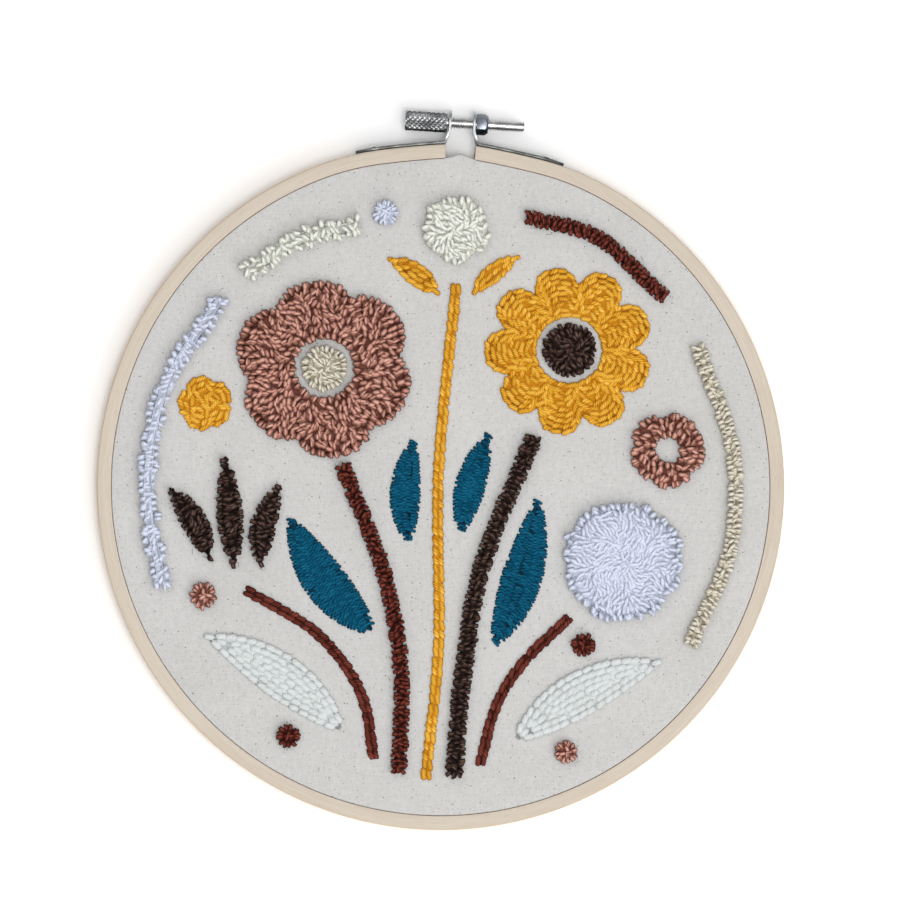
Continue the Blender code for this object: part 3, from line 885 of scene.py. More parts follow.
@dataclass
class Fittings:
    """The steel straps, their nails, the nut and the thumbscrew."""

    edge: float = 0.13 * MM
    rod_pitch: float = 0.8 * MM
    rod_root_r: float = 1.3 * MM
    rod_steps: int = 16
    knurl_sides: int = 30
    knurl_rings: int = 18
    knurl_depth: float = 0.3 * MM
    chamfer_width: float = 0.35 * MM
    chamfer_rise: float = 0.25 * MM

    def knurled_head(self) -> bpy.types.Object:
        """Makes the head, a cylinder whose crossing grooves leave diamonds.

        Returns:
            The head, with chamfered ends.
        """
        low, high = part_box("knurled_head")
        radius, length = (high.y - low.y) / 2, high.x - low.x
        axis = (low + high) / 2
        bpy.ops.object.select_all(action="DESELECT")
        bpy.ops.mesh.primitive_cylinder_add(
            vertices=self.knurl_sides, radius=radius, depth=length,
            location=axis, rotation=(0, math.pi / 2, 0),
        )
        piece = bpy.context.object
        piece.name = "knurled_head_piece"
        settle(piece)
        step = length / self.knurl_rings
        with editing(piece):
            pick("EDGE", lambda co: abs(co.x - axis.x) < 0.1 * MM)
            bpy.ops.mesh.subdivide(number_cuts=self.knurl_rings - 1)
            pick("VERT", lambda co: self.is_groove(co, axis, low.x, step))
            bpy.ops.transform.shrink_fatten(value=-self.knurl_depth)
            pick("FACE", lambda co: low.x + TOUCH < co.x < high.x - TOUCH)
            bpy.ops.mesh.quads_convert_to_tris(quad_method="SHORTEST_DIAGONAL")
            for end, way in ((low.x, -1), (high.x, 1)):
                pick("FACE", lambda co: abs(co.x - end) < TOUCH)
                bpy.ops.mesh.inset(thickness=self.chamfer_width)
                bpy.ops.transform.translate(value=(way * self.chamfer_rise, 0, 0))
        return piece

    def is_groove(self, place: Vector, axis: Vector, start: float, step: float) -> bool:
        """Whether a point of the head's side lies at the bottom of a groove.

        Args:
            place: The point.
            axis: The middle of the head.
            start: Where the head starts along its axis.
            step: How far apart its rings of points are.

        Returns:
            True at the bottom of a groove and all round both ends.
        """
        ring = round((place.x - start) / step)
        around = math.atan2(place.z - axis.z, place.y - axis.y) / (2 * math.pi) * self.knurl_sides
        at_end = ring in (0, self.knurl_rings)
        return at_end or (ring + round(around)) % 2 == 1

    def threaded_rod(self) -> bpy.types.Object:
        """Makes the rod, a ridge wound along it.

        Returns:
            The rod, cut square at both ends.
        """
        low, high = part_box("threaded_rod")
        radius, axis = (high.y - low.y) / 2, (low + high) / 2
        pitch = self.rod_pitch
        turns = math.ceil((high.x - low.x) / pitch) + 2
        # Shares of the pitch, and how far from the rod's axis the thread is there
        profile = ((0.0, self.rod_root_r), (0.22, radius), (0.42, radius), (0.64, self.rod_root_r))
        outline = bpy.data.meshes.new("thread")
        points = [(share * pitch, r, 0) for share, r in profile] + [(pitch, self.rod_root_r, 0)]
        outline.from_pydata(points, [(i, i + 1) for i in range(len(points) - 1)], [])
        piece = bpy.data.objects.new("threaded_rod_piece", outline)
        bpy.context.scene.collection.objects.link(piece)
        steps = self.rod_steps
        apply(
            piece, "SCREW", axis="X", steps=steps, render_steps=steps, screw_offset=pitch,
            iterations=turns, use_merge_vertices=True, merge_threshold=0.005 * MM,
        )
        piece.location = (low.x - pitch, axis.y, axis.z)
        settle(piece)
        with editing(piece):
            for end, side in ((low.x, 1), (high.x, -1)):
                bpy.ops.mesh.select_all(action="SELECT")
                bpy.ops.mesh.bisect(
                    plane_co=(end, axis.y, axis.z), plane_no=(side, 0, 0), use_fill=True, clear_inner=True
                )
            mend_faces()
        smooth_by_angle(piece)
        return piece

    def build(self) -> None:
        """Makes and dresses all the steel."""
        bright = Steel("bright_steel", (222, 222, 222), (172, 172, 172), (96, 88, 84), 0.26).made()
        violet = Steel("violet_steel", (120, 125, 133), (86, 91, 100), (64, 58, 62), 0.28).made()
        knurl = Steel("knurl_steel", (200, 202, 203), (128, 131, 132), (62, 56, 52), 0.22).made()
        dull_shades = (108, 110, 108), (76, 78, 76), (44, 42, 40)
        dull = Steel("strap_steel_dull", *dull_shades, 0.4, (208, 210, 212), HOOP_R + MM).made()
        for side in ("left", "right"):
            dress(softened_copy("strap_" + side, self.edge), dull, "strap_steel", "hoop", "strap_" + side)
            dress(softened_copy("nail_" + side, self.edge), bright, "steel", "hoop", "nail_" + side)
        dress(softened_copy("nut", self.edge), violet, "steel", "hoop", "nut")
        dress(self.knurled_head(), knurl, "knurled_steel", "thumbscrew", "knurled_head")
        dress(self.threaded_rod(), bright, "steel", "thumbscrew", "threaded_rod")


@dataclass(frozen=True)
class Shape:
    """A small mesh that is repeated, in millimetres, with what its colour follows."""

    points: np.ndarray
    straight: np.ndarray
    # The painted light of each point: 0 for painted shade, 1 for a painted highlight
    depth: np.ndarray
    faces: list[tuple[int, ...]]


@dataclass(frozen=True)
class Strand:
    """A length of yarn, bent over and twisted, lying along X with its crest up.

    Lengths are in millimetres and angles in degrees. spread is the distance between plies, size is what the
    strand measures once bent, groove is how far the sides between plies are pressed in, leg is the straight
    part at each end, and lit_depth is how far down the light reaches.
    """

    plies: int
    ply_radius: float
    spread: float
    length: float
    bend: float
    twist: float
    size: tuple[float, float, float]
    sides: int = 4
    segments: int = 6
    groove: float = 1.0
    taper: float = 0.55
    leg: float = 0.0
    lit_depth: float = 1.5

    def made(self, turn: float = 0.0) -> Shape:
        """Models the strand.

        Args:
            turn: How far its plies are turned about it before it is bent, in degrees.

        Returns:
            Its mesh as arrays, the crest at the top of its size and the feet at zero.
        """
        bpy.ops.object.select_all(action="DESELECT")
        plies = []
        for i in range(self.plies):
            place = ((i - (self.plies - 1) / 2) * self.spread, 0, 0)
            bpy.ops.mesh.primitive_cylinder_add(
                vertices=self.sides, radius=self.ply_radius, depth=self.length,
                end_fill_type="NOTHING", location=place,
            )
            plies.append(bpy.context.object)
        for ply in plies:
            ply.select_set(True)
        bpy.ops.object.join()
        piece = bpy.context.object
        piece.rotation_euler = (0, 0, math.radians(90 + turn))
        settle(piece)
        with editing(piece):
            pick("EDGE", lambda co: abs(co.z) < self.length * 0.01)
            bpy.ops.mesh.subdivide(number_cuts=self.segments - 1)
            if self.leg:
                self.gather_crest()
            if self.groove < 1:
                self.press_grooves()
            for end in (-1, 1):
                self.taper_end(end)
        before = read_points(piece, "co")
        straight = self.leg / self.length
        bends = (("TWIST", self.twist, "Z", 0.0), ("BEND", self.bend, "X", straight))
        for method, degrees, axis, kept in bends:
            settings = {"deform_method": method, "angle": math.radians(degrees), "deform_axis": axis}
            apply(piece, "SIMPLE_DEFORM", limits=(kept, 1 - kept), **settings)
        after, normals = read_points(piece, "co"), read_points(piece, "normal")
        faces = taken_apart(piece)
        lying = np.column_stack([after[:, 2], after[:, 0], -after[:, 1]])
        low, high = lying.min(0), lying.max(0)
        lying = (lying - [(low[0] + high[0]) / 2, (low[1] + high[1]) / 2, low[2]]) / (high - low) * self.size
        return Shape(lying, before, self.light(lying[:, 2] / self.size[2], -normals[:, 1], before), faces)

    def light(self, height: np.ndarray, up: np.ndarray, before: np.ndarray) -> np.ndarray:
        """Works out how near to the light each point is, from its height, its slope and its ply.

        Args:
            height: Each point's height, 0 to 1.
            up: How far its surface looks up, -1 to 1.
            before: Where it was before the strand was bent.

        Returns:
            A value for each point, 0 at the roots and 1 along the crests of the plies.
        """
        # This value paints light into the yarn's colour: painted shade low down, on slopes that face away and
        # in the grooves between plies, and a painted highlight along the crests
        facing = np.clip(up, 0, 1)
        if self.groove == 1:
            lit = np.clip(1.1 - self.size[2] * (1 - height) / self.lit_depth, 0, 1)
            return lit * (0.2 + 0.8 * facing**2)
        ridge = np.hypot(before[:, 0], before[:, 1]) / self.ply_radius
        ridge = np.clip((ridge - self.groove) / max(1 - self.groove, 0.01), 0, 1)
        return (0.3 + 0.7 * ridge) * (0.35 + 0.65 * facing)

    def gather_crest(self) -> None:
        """Draws all but the end rings of a straight strand together into the part that is bent."""
        reach = self.length * (0.5 - 1 / self.segments)
        share = (self.length / 2 - self.leg) / reach
        pick("VERT", lambda co: abs(co.z) < self.length * 0.499)
        bpy.ops.transform.resize(value=(1, 1, share), center_override=(0, 0, 0))

    def press_grooves(self) -> None:
        """Presses every second side of a strand in, so that its twist shows as plies."""
        sides = self.sides
        share = self.groove
        pick("VERT", lambda co: round(math.atan2(co.y, co.x) / (2 * math.pi) * sides) % 2 == 1)
        bpy.ops.transform.resize(value=(share, share, 1), center_override=(0, 0, 0))

    def taper_end(self, end: int) -> None:
        """Narrows one end of the strand and closes it.

        Args:
            end: -1 for the lower end and 1 for the upper one.
        """
        step = self.length / self.segments
        for rings_in, share in ((1, 1 - (1 - self.taper) * 0.35), (0, self.taper)):
            height = end * (self.length / 2 - rings_in * step)
            pick("VERT", lambda co: abs(co.z - height) < step * 0.1)
            if self.plies == 1:
                bpy.ops.transform.resize(value=(share, share, 1), center_override=(0, 0, height))
        bpy.ops.mesh.merge(type="COLLAPSE")


class Heap:
    """Stitches gathered into one mesh, with the values that the yarn's colour follows."""

    # How far the fibres' noise moves on from one stitch to another, so that no two look the same
    noise_shift: float = 97.0

    def __init__(self) -> None:
        """Starts with nothing."""
        self.points: list[np.ndarray] = []
        self.straight: list[np.ndarray] = []
        # The painted light of each point
        self.depth: list[np.ndarray] = []
        self.tone: list[np.ndarray] = []
        self.faces: list[tuple[int, ...]] = []
        self.count = 0

    def add(self, shape: Shape, turns: np.ndarray, places: np.ndarray, tones: np.ndarray) -> None:
        """Adds copies of a shape.

        Args:
            shape: What is repeated.
            turns: A 3 by 3 turn and size for each copy.
            places: A place in millimetres for each copy.
            tones: A shade from 0 to 1 for each copy.
        """
        copies, each = len(places), len(shape.points)
        if not copies:
            return
        placed = np.einsum("kij,nj->kni", turns, shape.points) + places[:, None, :]
        offset = tones[:, None, None] * self.noise_shift
        self.points.append(placed.reshape(-1, 3))
        self.straight.append((shape.straight[None] + offset).reshape(-1, 3))
        self.depth.append(np.tile(shape.depth, copies))
        self.tone.append(np.repeat(tones, each))
        for copy in range(copies):
            start = self.count + copy * each
            self.faces.extend(tuple(start + i for i in face) for face in shape.faces)
        self.count += copies * each

    def made(self, name: str) -> bpy.types.Object:
        """Makes the gathered mesh.

        Args:
            name: The piece's name.

        Returns:
            The piece.
        """
        points = np.vstack(self.points) * MM
        points[:, 1] += HOOP_Y
        mesh = bpy.data.meshes.new(name)
        mesh.from_pydata(points.tolist(), [], self.faces)
        # The depth attribute carries the yarn's painted light, and tone a random tone of each stitch
        for label, values in (("depth", self.depth), ("tone", self.tone)):
            mesh.attributes.new(label, "FLOAT", "POINT").data.foreach_set("value", np.concatenate(values))
        straight = np.vstack(self.straight).astype(np.float32)
        mesh.attributes.new("straight", "FLOAT_VECTOR", "POINT").data.foreach_set("vector", straight.ravel())
        mesh.shade_smooth()
        piece = bpy.data.objects.new(name, mesh)
        bpy.context.scene.collection.objects.link(piece)
        return piece


@dataclass(frozen=True)
class Plan:
    """A patch seen from above: a middle line, the way across it, and its edges along that way."""

    middle: np.ndarray
    across: np.ndarray
    low: np.ndarray
    high: np.ndarray

    def line(self, offsets: np.ndarray) -> np.ndarray:
        """The points at some offsets across the middle line."""
        return self.middle + self.across * offsets[:, None]


@dataclass(frozen=True)
class Spots:
    """Where the stitches of a patch go, an entry each."""

    place: np.ndarray
    heading: np.ndarray
    outward: np.ndarray
    edge: np.ndarray

    @staticmethod
    def joined(parts: list["Spots"]) -> "Spots":
        """Joins several rows of spots into one."""
        fields = ("place", "heading", "outward", "edge")
        return Spots(*[np.concatenate([getattr(part, name) for part in parts]) for name in fields])

    def apart(self, least: float) -> "Spots":
        """Leaves out each spot that is too close to an earlier one.

        Args:
            least: The least distance between two spots, in millimetres.

        Returns:
            The spots that stay.
        """
        kept: list[int] = []
        for index, place in enumerate(self.place):
            if not kept or np.linalg.norm(self.place[kept] - place, axis=1).min() >= least:
                kept.append(index)
        return Spots(self.place[kept], self.heading[kept], self.outward[kept], self.edge[kept])


@dataclass(frozen=True)
class Row:
    """One line of stitches, with the way out of the patch from it."""

    points: np.ndarray
    outward: np.ndarray
    closed: bool
    edge: bool

    def spots(self, spacing: float, rng: np.random.Generator, loose: float, shift: float = 0.0) -> Spots:
        """Spaces stitches along the row.

        Args:
            spacing: The distance from one to the next.
            rng: The source of its unevenness.
            loose: How uneven the spacing is, as a share of it.
            shift: How far out an edge row's crests lean, which is where the spacing counts.

        Returns:
            The spots.
        """
        points, outward = self.points, self.outward
        if self.closed:
            points, outward = np.vstack([points, points[:1]]), np.vstack([outward, outward[:1]])
        crest = points
        if self.edge and shift:
            crest = points + outward / np.linalg.norm(outward, axis=1)[:, None] * shift
        reach = np.concatenate([[0], np.cumsum(np.linalg.norm(np.diff(crest, axis=0), axis=1))])
        count = max(1, round(reach[-1] / spacing))
        at = (np.arange(count) + 0.5 + rng.uniform(-loose, loose, count)) * reach[-1] / count
        if self.closed:
            at = (at + rng.uniform(0, spacing)) % reach[-1]

        def along(values: np.ndarray, where: np.ndarray) -> np.ndarray:
            """Reads values at distances along the row."""
            return np.column_stack([np.interp(where, reach, values[:, i]) for i in range(2)])

        place = along(points, at)
        ahead = along(points, np.minimum(at + 0.2, reach[-1])) - along(points, np.maximum(at - 0.2, 0))
        out = along(outward, at)
        heading = np.arctan2(ahead[:, 1], ahead[:, 0])
        return Spots(place, heading, np.arctan2(out[:, 1], out[:, 0]), np.full(count, self.edge))


# The least room that rows of stitches need, as shares of the distance between two: a pair of rows in a
# leaf, a row alone in a leaf or stem, a ring near a bloom's hole, and one near its middle
PAIR_ROOM = 0.38
LONE_ROOM = 0.45
HOLE_ROOM = 0.35
MIDDLE_ROOM = 0.2
# The radius of the ring that fills a bloom's middle, in millimetres
SMALLEST_RING = 0.3


def smooth_path(points: np.ndarray, step: float) -> np.ndarray:
    """A smooth curve through some points.

    Args:
        points: The points, a row each.
        step: About how far apart the curve's own points are.

    Returns:
        The curve's points, a row each.
    """
    ends = np.vstack([2 * points[0] - points[1], points, 2 * points[-1] - points[-2]])
    found = []
    for before, start, end, after in zip(ends, ends[1:], ends[2:], ends[3:]):
        t = np.linspace(0, 1, max(2, round(np.linalg.norm(end - start) / step)), endpoint=False)[:, None]
        found.append(
            -before * t * (1 - t) ** 2 / 2 + start * (2 - 5 * t**2 + 3 * t**3) / 2
            + end * (t + 4 * t**2 - 3 * t**3) / 2 + after * (t**3 - t**2) / 2
        )
    return np.vstack(found + [points[-1:]])


def runs(mask: np.ndarray) -> list[tuple[int, int]]:
    """The stretches of at least three entries where a mask holds, as start and end."""
    edges = np.flatnonzero(np.diff(np.concatenate([[0], mask.astype(int), [0]])))
    return [(a, b) for a, b in zip(edges[::2], edges[1::2]) if b - a > 2]


def beside(along: np.ndarray) -> np.ndarray:
    """The unit vectors to the left of some directions."""
    left = np.column_stack([-along[:, 1], along[:, 0]])
    return left / np.linalg.norm(left, axis=1)[:, None]


@dataclass(frozen=True)
class Stem:
    """A curved band of stitches of one width."""

    name: str
    yarn: str
    width: float
    points: tuple[tuple[float, float], ...]

    def plan(self) -> Plan:
        """Draws the band.

        Returns:
            Its plan.
        """
        path = smooth_path(np.array(self.points, float), 1.0)
        across = beside(np.gradient(path, axis=0))
        half = np.full(len(path), self.width / 2)
        return Plan(path, across, -half, half)

    def rows(self, pitch: float, inset: float) -> list[Row]:
        """The band's rows of stitches, side by side.

        Args:
            pitch: About how far apart they are.
            inset: How far the outermost lie inside the band's edge.

        Returns:
            The rows.
        """
        plan = self.plan()
        reach = max(self.width / 2 - inset, LONE_ROOM * pitch)
        count = max(1, math.ceil(2 * reach / pitch - 0.05) + 1)
        rows = []
        for i in range(count):
            offset = 0.0 if count == 1 else reach * (2 * i / (count - 1) - 1)
            outward = plan.across * (1 if offset >= 0 else -1)
            edge = i in (0, count - 1)
            line = plan.line(np.full(len(plan.middle), offset))
            reach_out = math.sqrt((self.width / 2) ** 2 - offset**2) - 0.5 * inset
            first = line[0] - (line[1] - line[0]) / np.linalg.norm(line[1] - line[0]) * reach_out
            last = line[-1] + (line[-1] - line[-2]) / np.linalg.norm(line[-1] - line[-2]) * reach_out
            line = np.vstack([first, line, last])
            outward = np.vstack([first - plan.middle[0], outward, last - plan.middle[-1]])
            rows.append(Row(line, outward, False, edge))
        return rows


@dataclass(frozen=True)
class Leaf:
    """A pointed leaf or petal on a bent middle line."""

    name: str
    yarn: str
    base: tuple[float, float]
    tip: tuple[float, float]
    width: float
    bend: float

    def plan(self) -> Plan:
        """Draws the leaf.

        Returns:
            Its plan.
        """
        base, tip = np.array(self.base, float), np.array(self.tip, float)
        along = tip - base
        side = np.array([-along[1], along[0]]) * self.bend
        t = np.linspace(0.015, 0.985, 60)[:, None]
        middle = base + along * t + side * 4 * t * (1 - t)
        half = self.width / 2 * np.sin(np.pi * t[:, 0] ** 0.9) ** 0.75
        return Plan(middle, beside(along + side * (4 - 8 * t)), -half, half)

    def rows(self, pitch: float, inset: float) -> list[Row]:
        """Rows that follow both edges, and one between where there is room.

        Args:
            pitch: How far apart they are.
            inset: How far the outermost lie inside the leaf's edge.

        Returns:
            The rows.
        """
        plan = self.plan()
        rows = []
        for ring in range(round(self.width / 2 / pitch) + 1):
            offset = plan.high - inset - ring * pitch
            room = offset > PAIR_ROOM * pitch
            least = -0.9 * inset if ring == 0 else -LONE_ROOM * pitch
            lone = (offset > least) & ~room
            if room.sum() > 2:
                for way in (-1, 1):
                    line = plan.line(offset * way)[room]
                    rows.append(Row(line, plan.across[room] * way, False, ring == 0))
            for start, end in runs(lone):
                line = plan.middle[start:end]
                order = np.arange(start, end)
                tipwards = np.gradient(line, axis=0) * np.where(order < len(room) / 2, -1, 1)[:, None]
                ends = np.minimum(order, len(room) - 1 - order) < 3
                outward = np.where(ends[:, None], tipwards, plan.across[start:end])
                rows.append(Row(line, outward, False, ring == 0))
        return rows


@dataclass(frozen=True)
class Bloom:
    """A round patch with petals, open in the middle if it has a hole."""

    name: str
    yarn: str
    centre: tuple[float, float]
    radius: float
    petals: int
    notch: float
    hole: float
    turn: float

    def plan(self) -> Plan:
        """Draws the bloom.

        Returns:
            Its plan, measured out from its centre.
        """
        angle = np.linspace(0, 2 * np.pi, 240, endpoint=False)
        wave = np.abs(np.sin(self.petals * (angle - math.radians(self.turn)) / 2))
        uneven = 1 + 0.015 * np.sin(3 * angle + self.centre[0])
        reach = self.radius * (1 - self.notch * (1 - wave) ** 1.6) * uneven
        middle = np.tile(np.array(self.centre, float), (len(angle), 1))
        across = np.column_stack([np.cos(angle), np.sin(angle)])
        return Plan(middle, across, np.full(len(angle), self.hole), reach)

    def rows(self, pitch: float, inset: float) -> list[Row]:
        """Rings of stitches from the outline in to the hole or the centre.

        Args:
            pitch: About how far apart they are.
            inset: How far the outermost lie inside the outline.

        Returns:
            The rows.
        """
        plan = self.plan()
        inner = self.hole + inset if self.hole else 0.0
        rows = []
        if self.hole:
            rows.append(Row(plan.line(np.full(len(plan.high), inner)), -plan.across, True, True))
        for ring in range(round(self.radius / pitch) + 1):
            offset = plan.high - inset - ring * pitch
            room = offset > (inner + HOLE_ROOM * pitch if self.hole else MIDDLE_ROOM * pitch)
            line = plan.line(np.maximum(offset, 0.0))
            if room.all():
                rows.append(Row(line, plan.across, True, ring == 0))
            elif room.any():
                first = int(np.flatnonzero(~room)[0])
                room, line, across = (np.roll(values, -first, axis=0) for values in (room, line, plan.across))
                rows.extend(Row(line[a:b], across[a:b], False, ring == 0) for a, b in runs(room))
        if not self.hole:
            smallest = np.full(len(plan.high), SMALLEST_RING)
            rows.append(Row(plan.line(smallest), plan.across, True, False))
        return rows


Patch = Stem | Leaf | Bloom

# Name, yarn, width and the points of the middle line
STEMS = (
    Stem("tulip_stem", "rust", 3.4, ((-16, -84), (-21, -65), (-35, -48), (-57, -36))),
    Stem("rose_stem", "red_brown", 5.0, ((-8, -87), (-9, -58), (-16, -28), (-30, 3))),
    Stem("middle_stem", "mustard", 3.4, ((0.5, -89), (2, -48), (-1, 4), (1, 61))),
    Stem("daisy_stem", "dark_brown", 5.5, ((9, -87), (10, -58), (14, -24), (27, 15))),
    Stem("pompom_stem", "rust", 3.4, ((17, -84), (21, -66), (29, -52), (41, -39))),
    Stem("left_blade", "lilac_white", 6.0, ((-84, -34), (-90, -8), (-87, 24), (-72, 52))),
    Stem("right_blade", "cream", 4.8, ((80, -43), (90, -14), (89, 16), (77, 46))),
    Stem("top_blade_left", "ivory", 6.5, ((-62, 63), (-48, 73), (-32, 78))),
    Stem("top_blade_right", "red_brown", 4.8, ((23, 84), (44, 79), (64, 63))),
)
# Name, yarn, base, tip, width and bend
LEAVES = (
    Leaf("teal_leaf_left", "teal", (-18, -46), (-46, -12), 13.0, 0.07),
    Leaf("teal_leaf_right", "teal", (19, -48), (30, -2), 12.0, -0.05),
    Leaf("mint_leaf_left", "mint_white", (-26, -77), (-70, -50), 14.0, -0.06),
    Leaf("mint_leaf_right", "mint_white", (27, -77), (71, -50), 14.0, 0.06),
    Leaf("tulip_petal_left", "dark_brown", (-69.5, -27), (-84, -5), 8.2, -0.06),
    Leaf("tulip_petal_middle", "dark_brown", (-62, -29), (-67, 6), 8.0, 0.0),
    Leaf("tulip_petal_right", "dark_brown", (-54, -28), (-49, -2), 8.2, 0.08),
    Leaf("rose_leaf", "teal", (-9, -18), (-9, 14), 9.0, 0.06),
    Leaf("daisy_leaf", "teal", (7, -14), (14, 17), 9.0, 0.04),
    Leaf("bud_leaf_left", "mustard", (-4.5, 59), (-20, 69), 7.0, -0.05),
    Leaf("bud_leaf_right", "mustard", (6.5, 60), (20, 72), 6.0, 0.05),
)
# Name, yarn, centre, radius, petals, depth of the notches, radius of the hole and turn
BLOOMS = (
    Bloom("rose_petals", "rose", (-38, 34), 27.5, 6, 0.16, 8.8, 12),
    Bloom("rose_centre", "cream", (-38, 34), 7.2, 5, 0.04, 0, 0),
    Bloom("daisy_petals", "mustard", (37, 44), 26.0, 9, 0.26, 10.0, 5),
    Bloom("daisy_centre", "dark_brown", (37, 44), 8.4, 5, 0.04, 0, 0),
    Bloom("pompom", "lilac_white", (57, -20), 19.0, 8, 0.07, 0, 10),
    Bloom("bud", "ivory", (0, 79), 11.0, 5, 0.14, 0, 18),
    Bloom("left_blossom", "mustard", (-74, 21), 8.5, 5, 0.16, 0, 0),
    Bloom("right_blossom", "rose", (69, 15), 12.0, 5, 0.16, 3.6, 30),
    Bloom("berry_low_left", "red_brown", (-42.5, -79.5), 3.7, 5, 0.05, 0, 0),
    Bloom("berry_low_right", "rose", (43, -79.5), 3.7, 5, 0.05, 0, 0),
    Bloom("berry_left", "rose", (-71, -38), 4.2, 5, 0.05, 0, 20),
    Bloom("berry_right", "red_brown", (46.5, -46.5), 3.8, 5, 0.05, 0, 20),
    Bloom("berry_top", "lilac_white", (-22, 83), 4.0, 5, 0.05, 0, 20),
)


class Lie(Enum):
    """Which way the stitches of a patch lie."""

    PILE = "loops that stand up, leaning out at the edges"
    ALONG = "flat stitches along the row"
    ACROSS = "short stitches across the patch"


@dataclass(frozen=True)
class Stitching:
    """How a patch is stitched: its strand and how close and how upright the stitches are.

    Lengths are in millimetres and angles in degrees. bed is the height of the lower part of the pile under the
    stitches, as a share of the node's own, and bed_painted_light is the painted light of its colour, low for
    painted shade.
    fibres is how many stand out at each stitch, and stray is how unevenly the edge's loops stand, in radians.
    """

    strand: Strand
    lie: Lie
    row_pitch: float
    spacing: float
    inset: float
    bed: float
    slant: float = 0.0
    lean: float = 0.0
    least_gap: float = 1.25
    inner: Strand | None = None
    # The bed's painted light: a low value paints shade under the loops
    bed_painted_light: float = 0.1
    fibres: int = 0
    stray: float = 0.13


# Plies, ply radius, spread, length, bend, twist and size
LOOP = Strand(3, 0.27, 0.80, 7.95, 180, 10, (3.0, 2.14, 3.5), segments=7, leg=1.95)
INNER_LOOP = Strand(3, 0.27, 0.80, 4.05, 180, 10, (3.0, 2.14, 1.6), segments=5)
FINE_LOOP = Strand(3, 0.22, 0.62, 7.5, 180, 14, (2.5, 1.68, 3.4), segments=7, leg=2.13)
INNER_FINE_LOOP = Strand(3, 0.22, 0.62, 3.24, 180, 14, (2.5, 1.68, 1.3), segments=5)
FLUFFY_LOOP = Strand(3, 0.40, 0.66, 8.5, 180, 30, (2.8, 2.1, 4.1), segments=7, leg=2.6, lit_depth=3.5)
INNER_FLUFFY_LOOP = Strand(3, 0.40, 0.66, 3.3, 180, 30, (2.8, 2.1, 1.2), segments=5, lit_depth=3.5)
FLAT = Strand(1, 0.8, 0.0, 3.6, 90, 400, (3.6, 1.8, 1.7), sides=10, segments=8, groove=0.72)
SOFT_FLAT = Strand(1, 0.95, 0.0, 3.6, 90, 240, (3.6, 2.15, 1.8), sides=8, segments=8, groove=0.88)
SHORT_FLAT = Strand(1, 0.6, 0.0, 3.6, 85, 330, (3.4, 1.15, 1.5), sides=6, segments=7, groove=0.8)
BACK_STITCH = Strand(1, 0.6, 0.0, 3.0, 60, 0, (2.6, 1.1, 0.5), sides=6, segments=3)
FIBRE = Strand(1, 0.04, 0.0, 2.4, 80, 0, (2.2, 0.09, 0.7), sides=3, segments=3, lit_depth=9.0)

# Strand, lie, distance between rows and between stitches, inset, bed, slant, lean and least gap
ROSE_PILE = Stitching(LOOP, Lie.PILE, 1.55, 2.0, 1.8, 0.6, 0, 14, 1.05, INNER_LOOP)
FINE_PILE = Stitching(FINE_LOOP, Lie.PILE, 1.4, 1.6, 1.45, 0.62, 0, 12, 0.85, INNER_FINE_LOOP, fibres=2)
FLUFFY_PILE = Stitching(
    FLUFFY_LOOP, Lie.PILE, 1.55, 1.85, 1.8, 0.9, 0, 12, 0.95, INNER_FLUFFY_LOOP, 1.0, fibres=10, stray=0.42
)
STITCHINGS = {
    "rust": Stitching(FLAT, Lie.ALONG, 1.7, 2.9, 0.85, 0.3, 12, bed_painted_light=0.1),
    "mustard": Stitching(FLAT, Lie.ALONG, 1.75, 2.9, 0.85, 0.4, 12, bed_painted_light=0.2),
    "mint_white": Stitching(SOFT_FLAT, Lie.ALONG, 1.95, 3.0, 1.0, 0.45, 6, bed_painted_light=0.5),
    "teal": Stitching(SHORT_FLAT, Lie.ACROSS, 2.0, 0.95, 1.2, 0.4, 18, 0, 0.7, bed_painted_light=0.4),
    "dark_brown": FINE_PILE,
    "cream": FINE_PILE,
    "rose": ROSE_PILE,
    "red_brown": FINE_PILE,
    "ivory": FLUFFY_PILE,
    "lilac_white": FLUFFY_PILE,
}


def turned(heading: np.ndarray, lean: np.ndarray, size: np.ndarray) -> np.ndarray:
    """Turns for stitches that head some way and lean over towards it.

    Args:
        heading: The way that each heads, in radians.
        lean: How far each leans over, in radians.
        size: Each one's size.

    Returns:
        A 3 by 3 turn for each stitch.
    """
    c, s = np.cos(heading), np.sin(heading)
    d, e = np.cos(lean), np.sin(lean)
    zero = np.zeros_like(c)
    rows = [[c * d, -s, c * e], [s * d, c, s * e], [-e, zero, d]]
    return np.array(rows).transpose(2, 0, 1) * size[:, None, None]


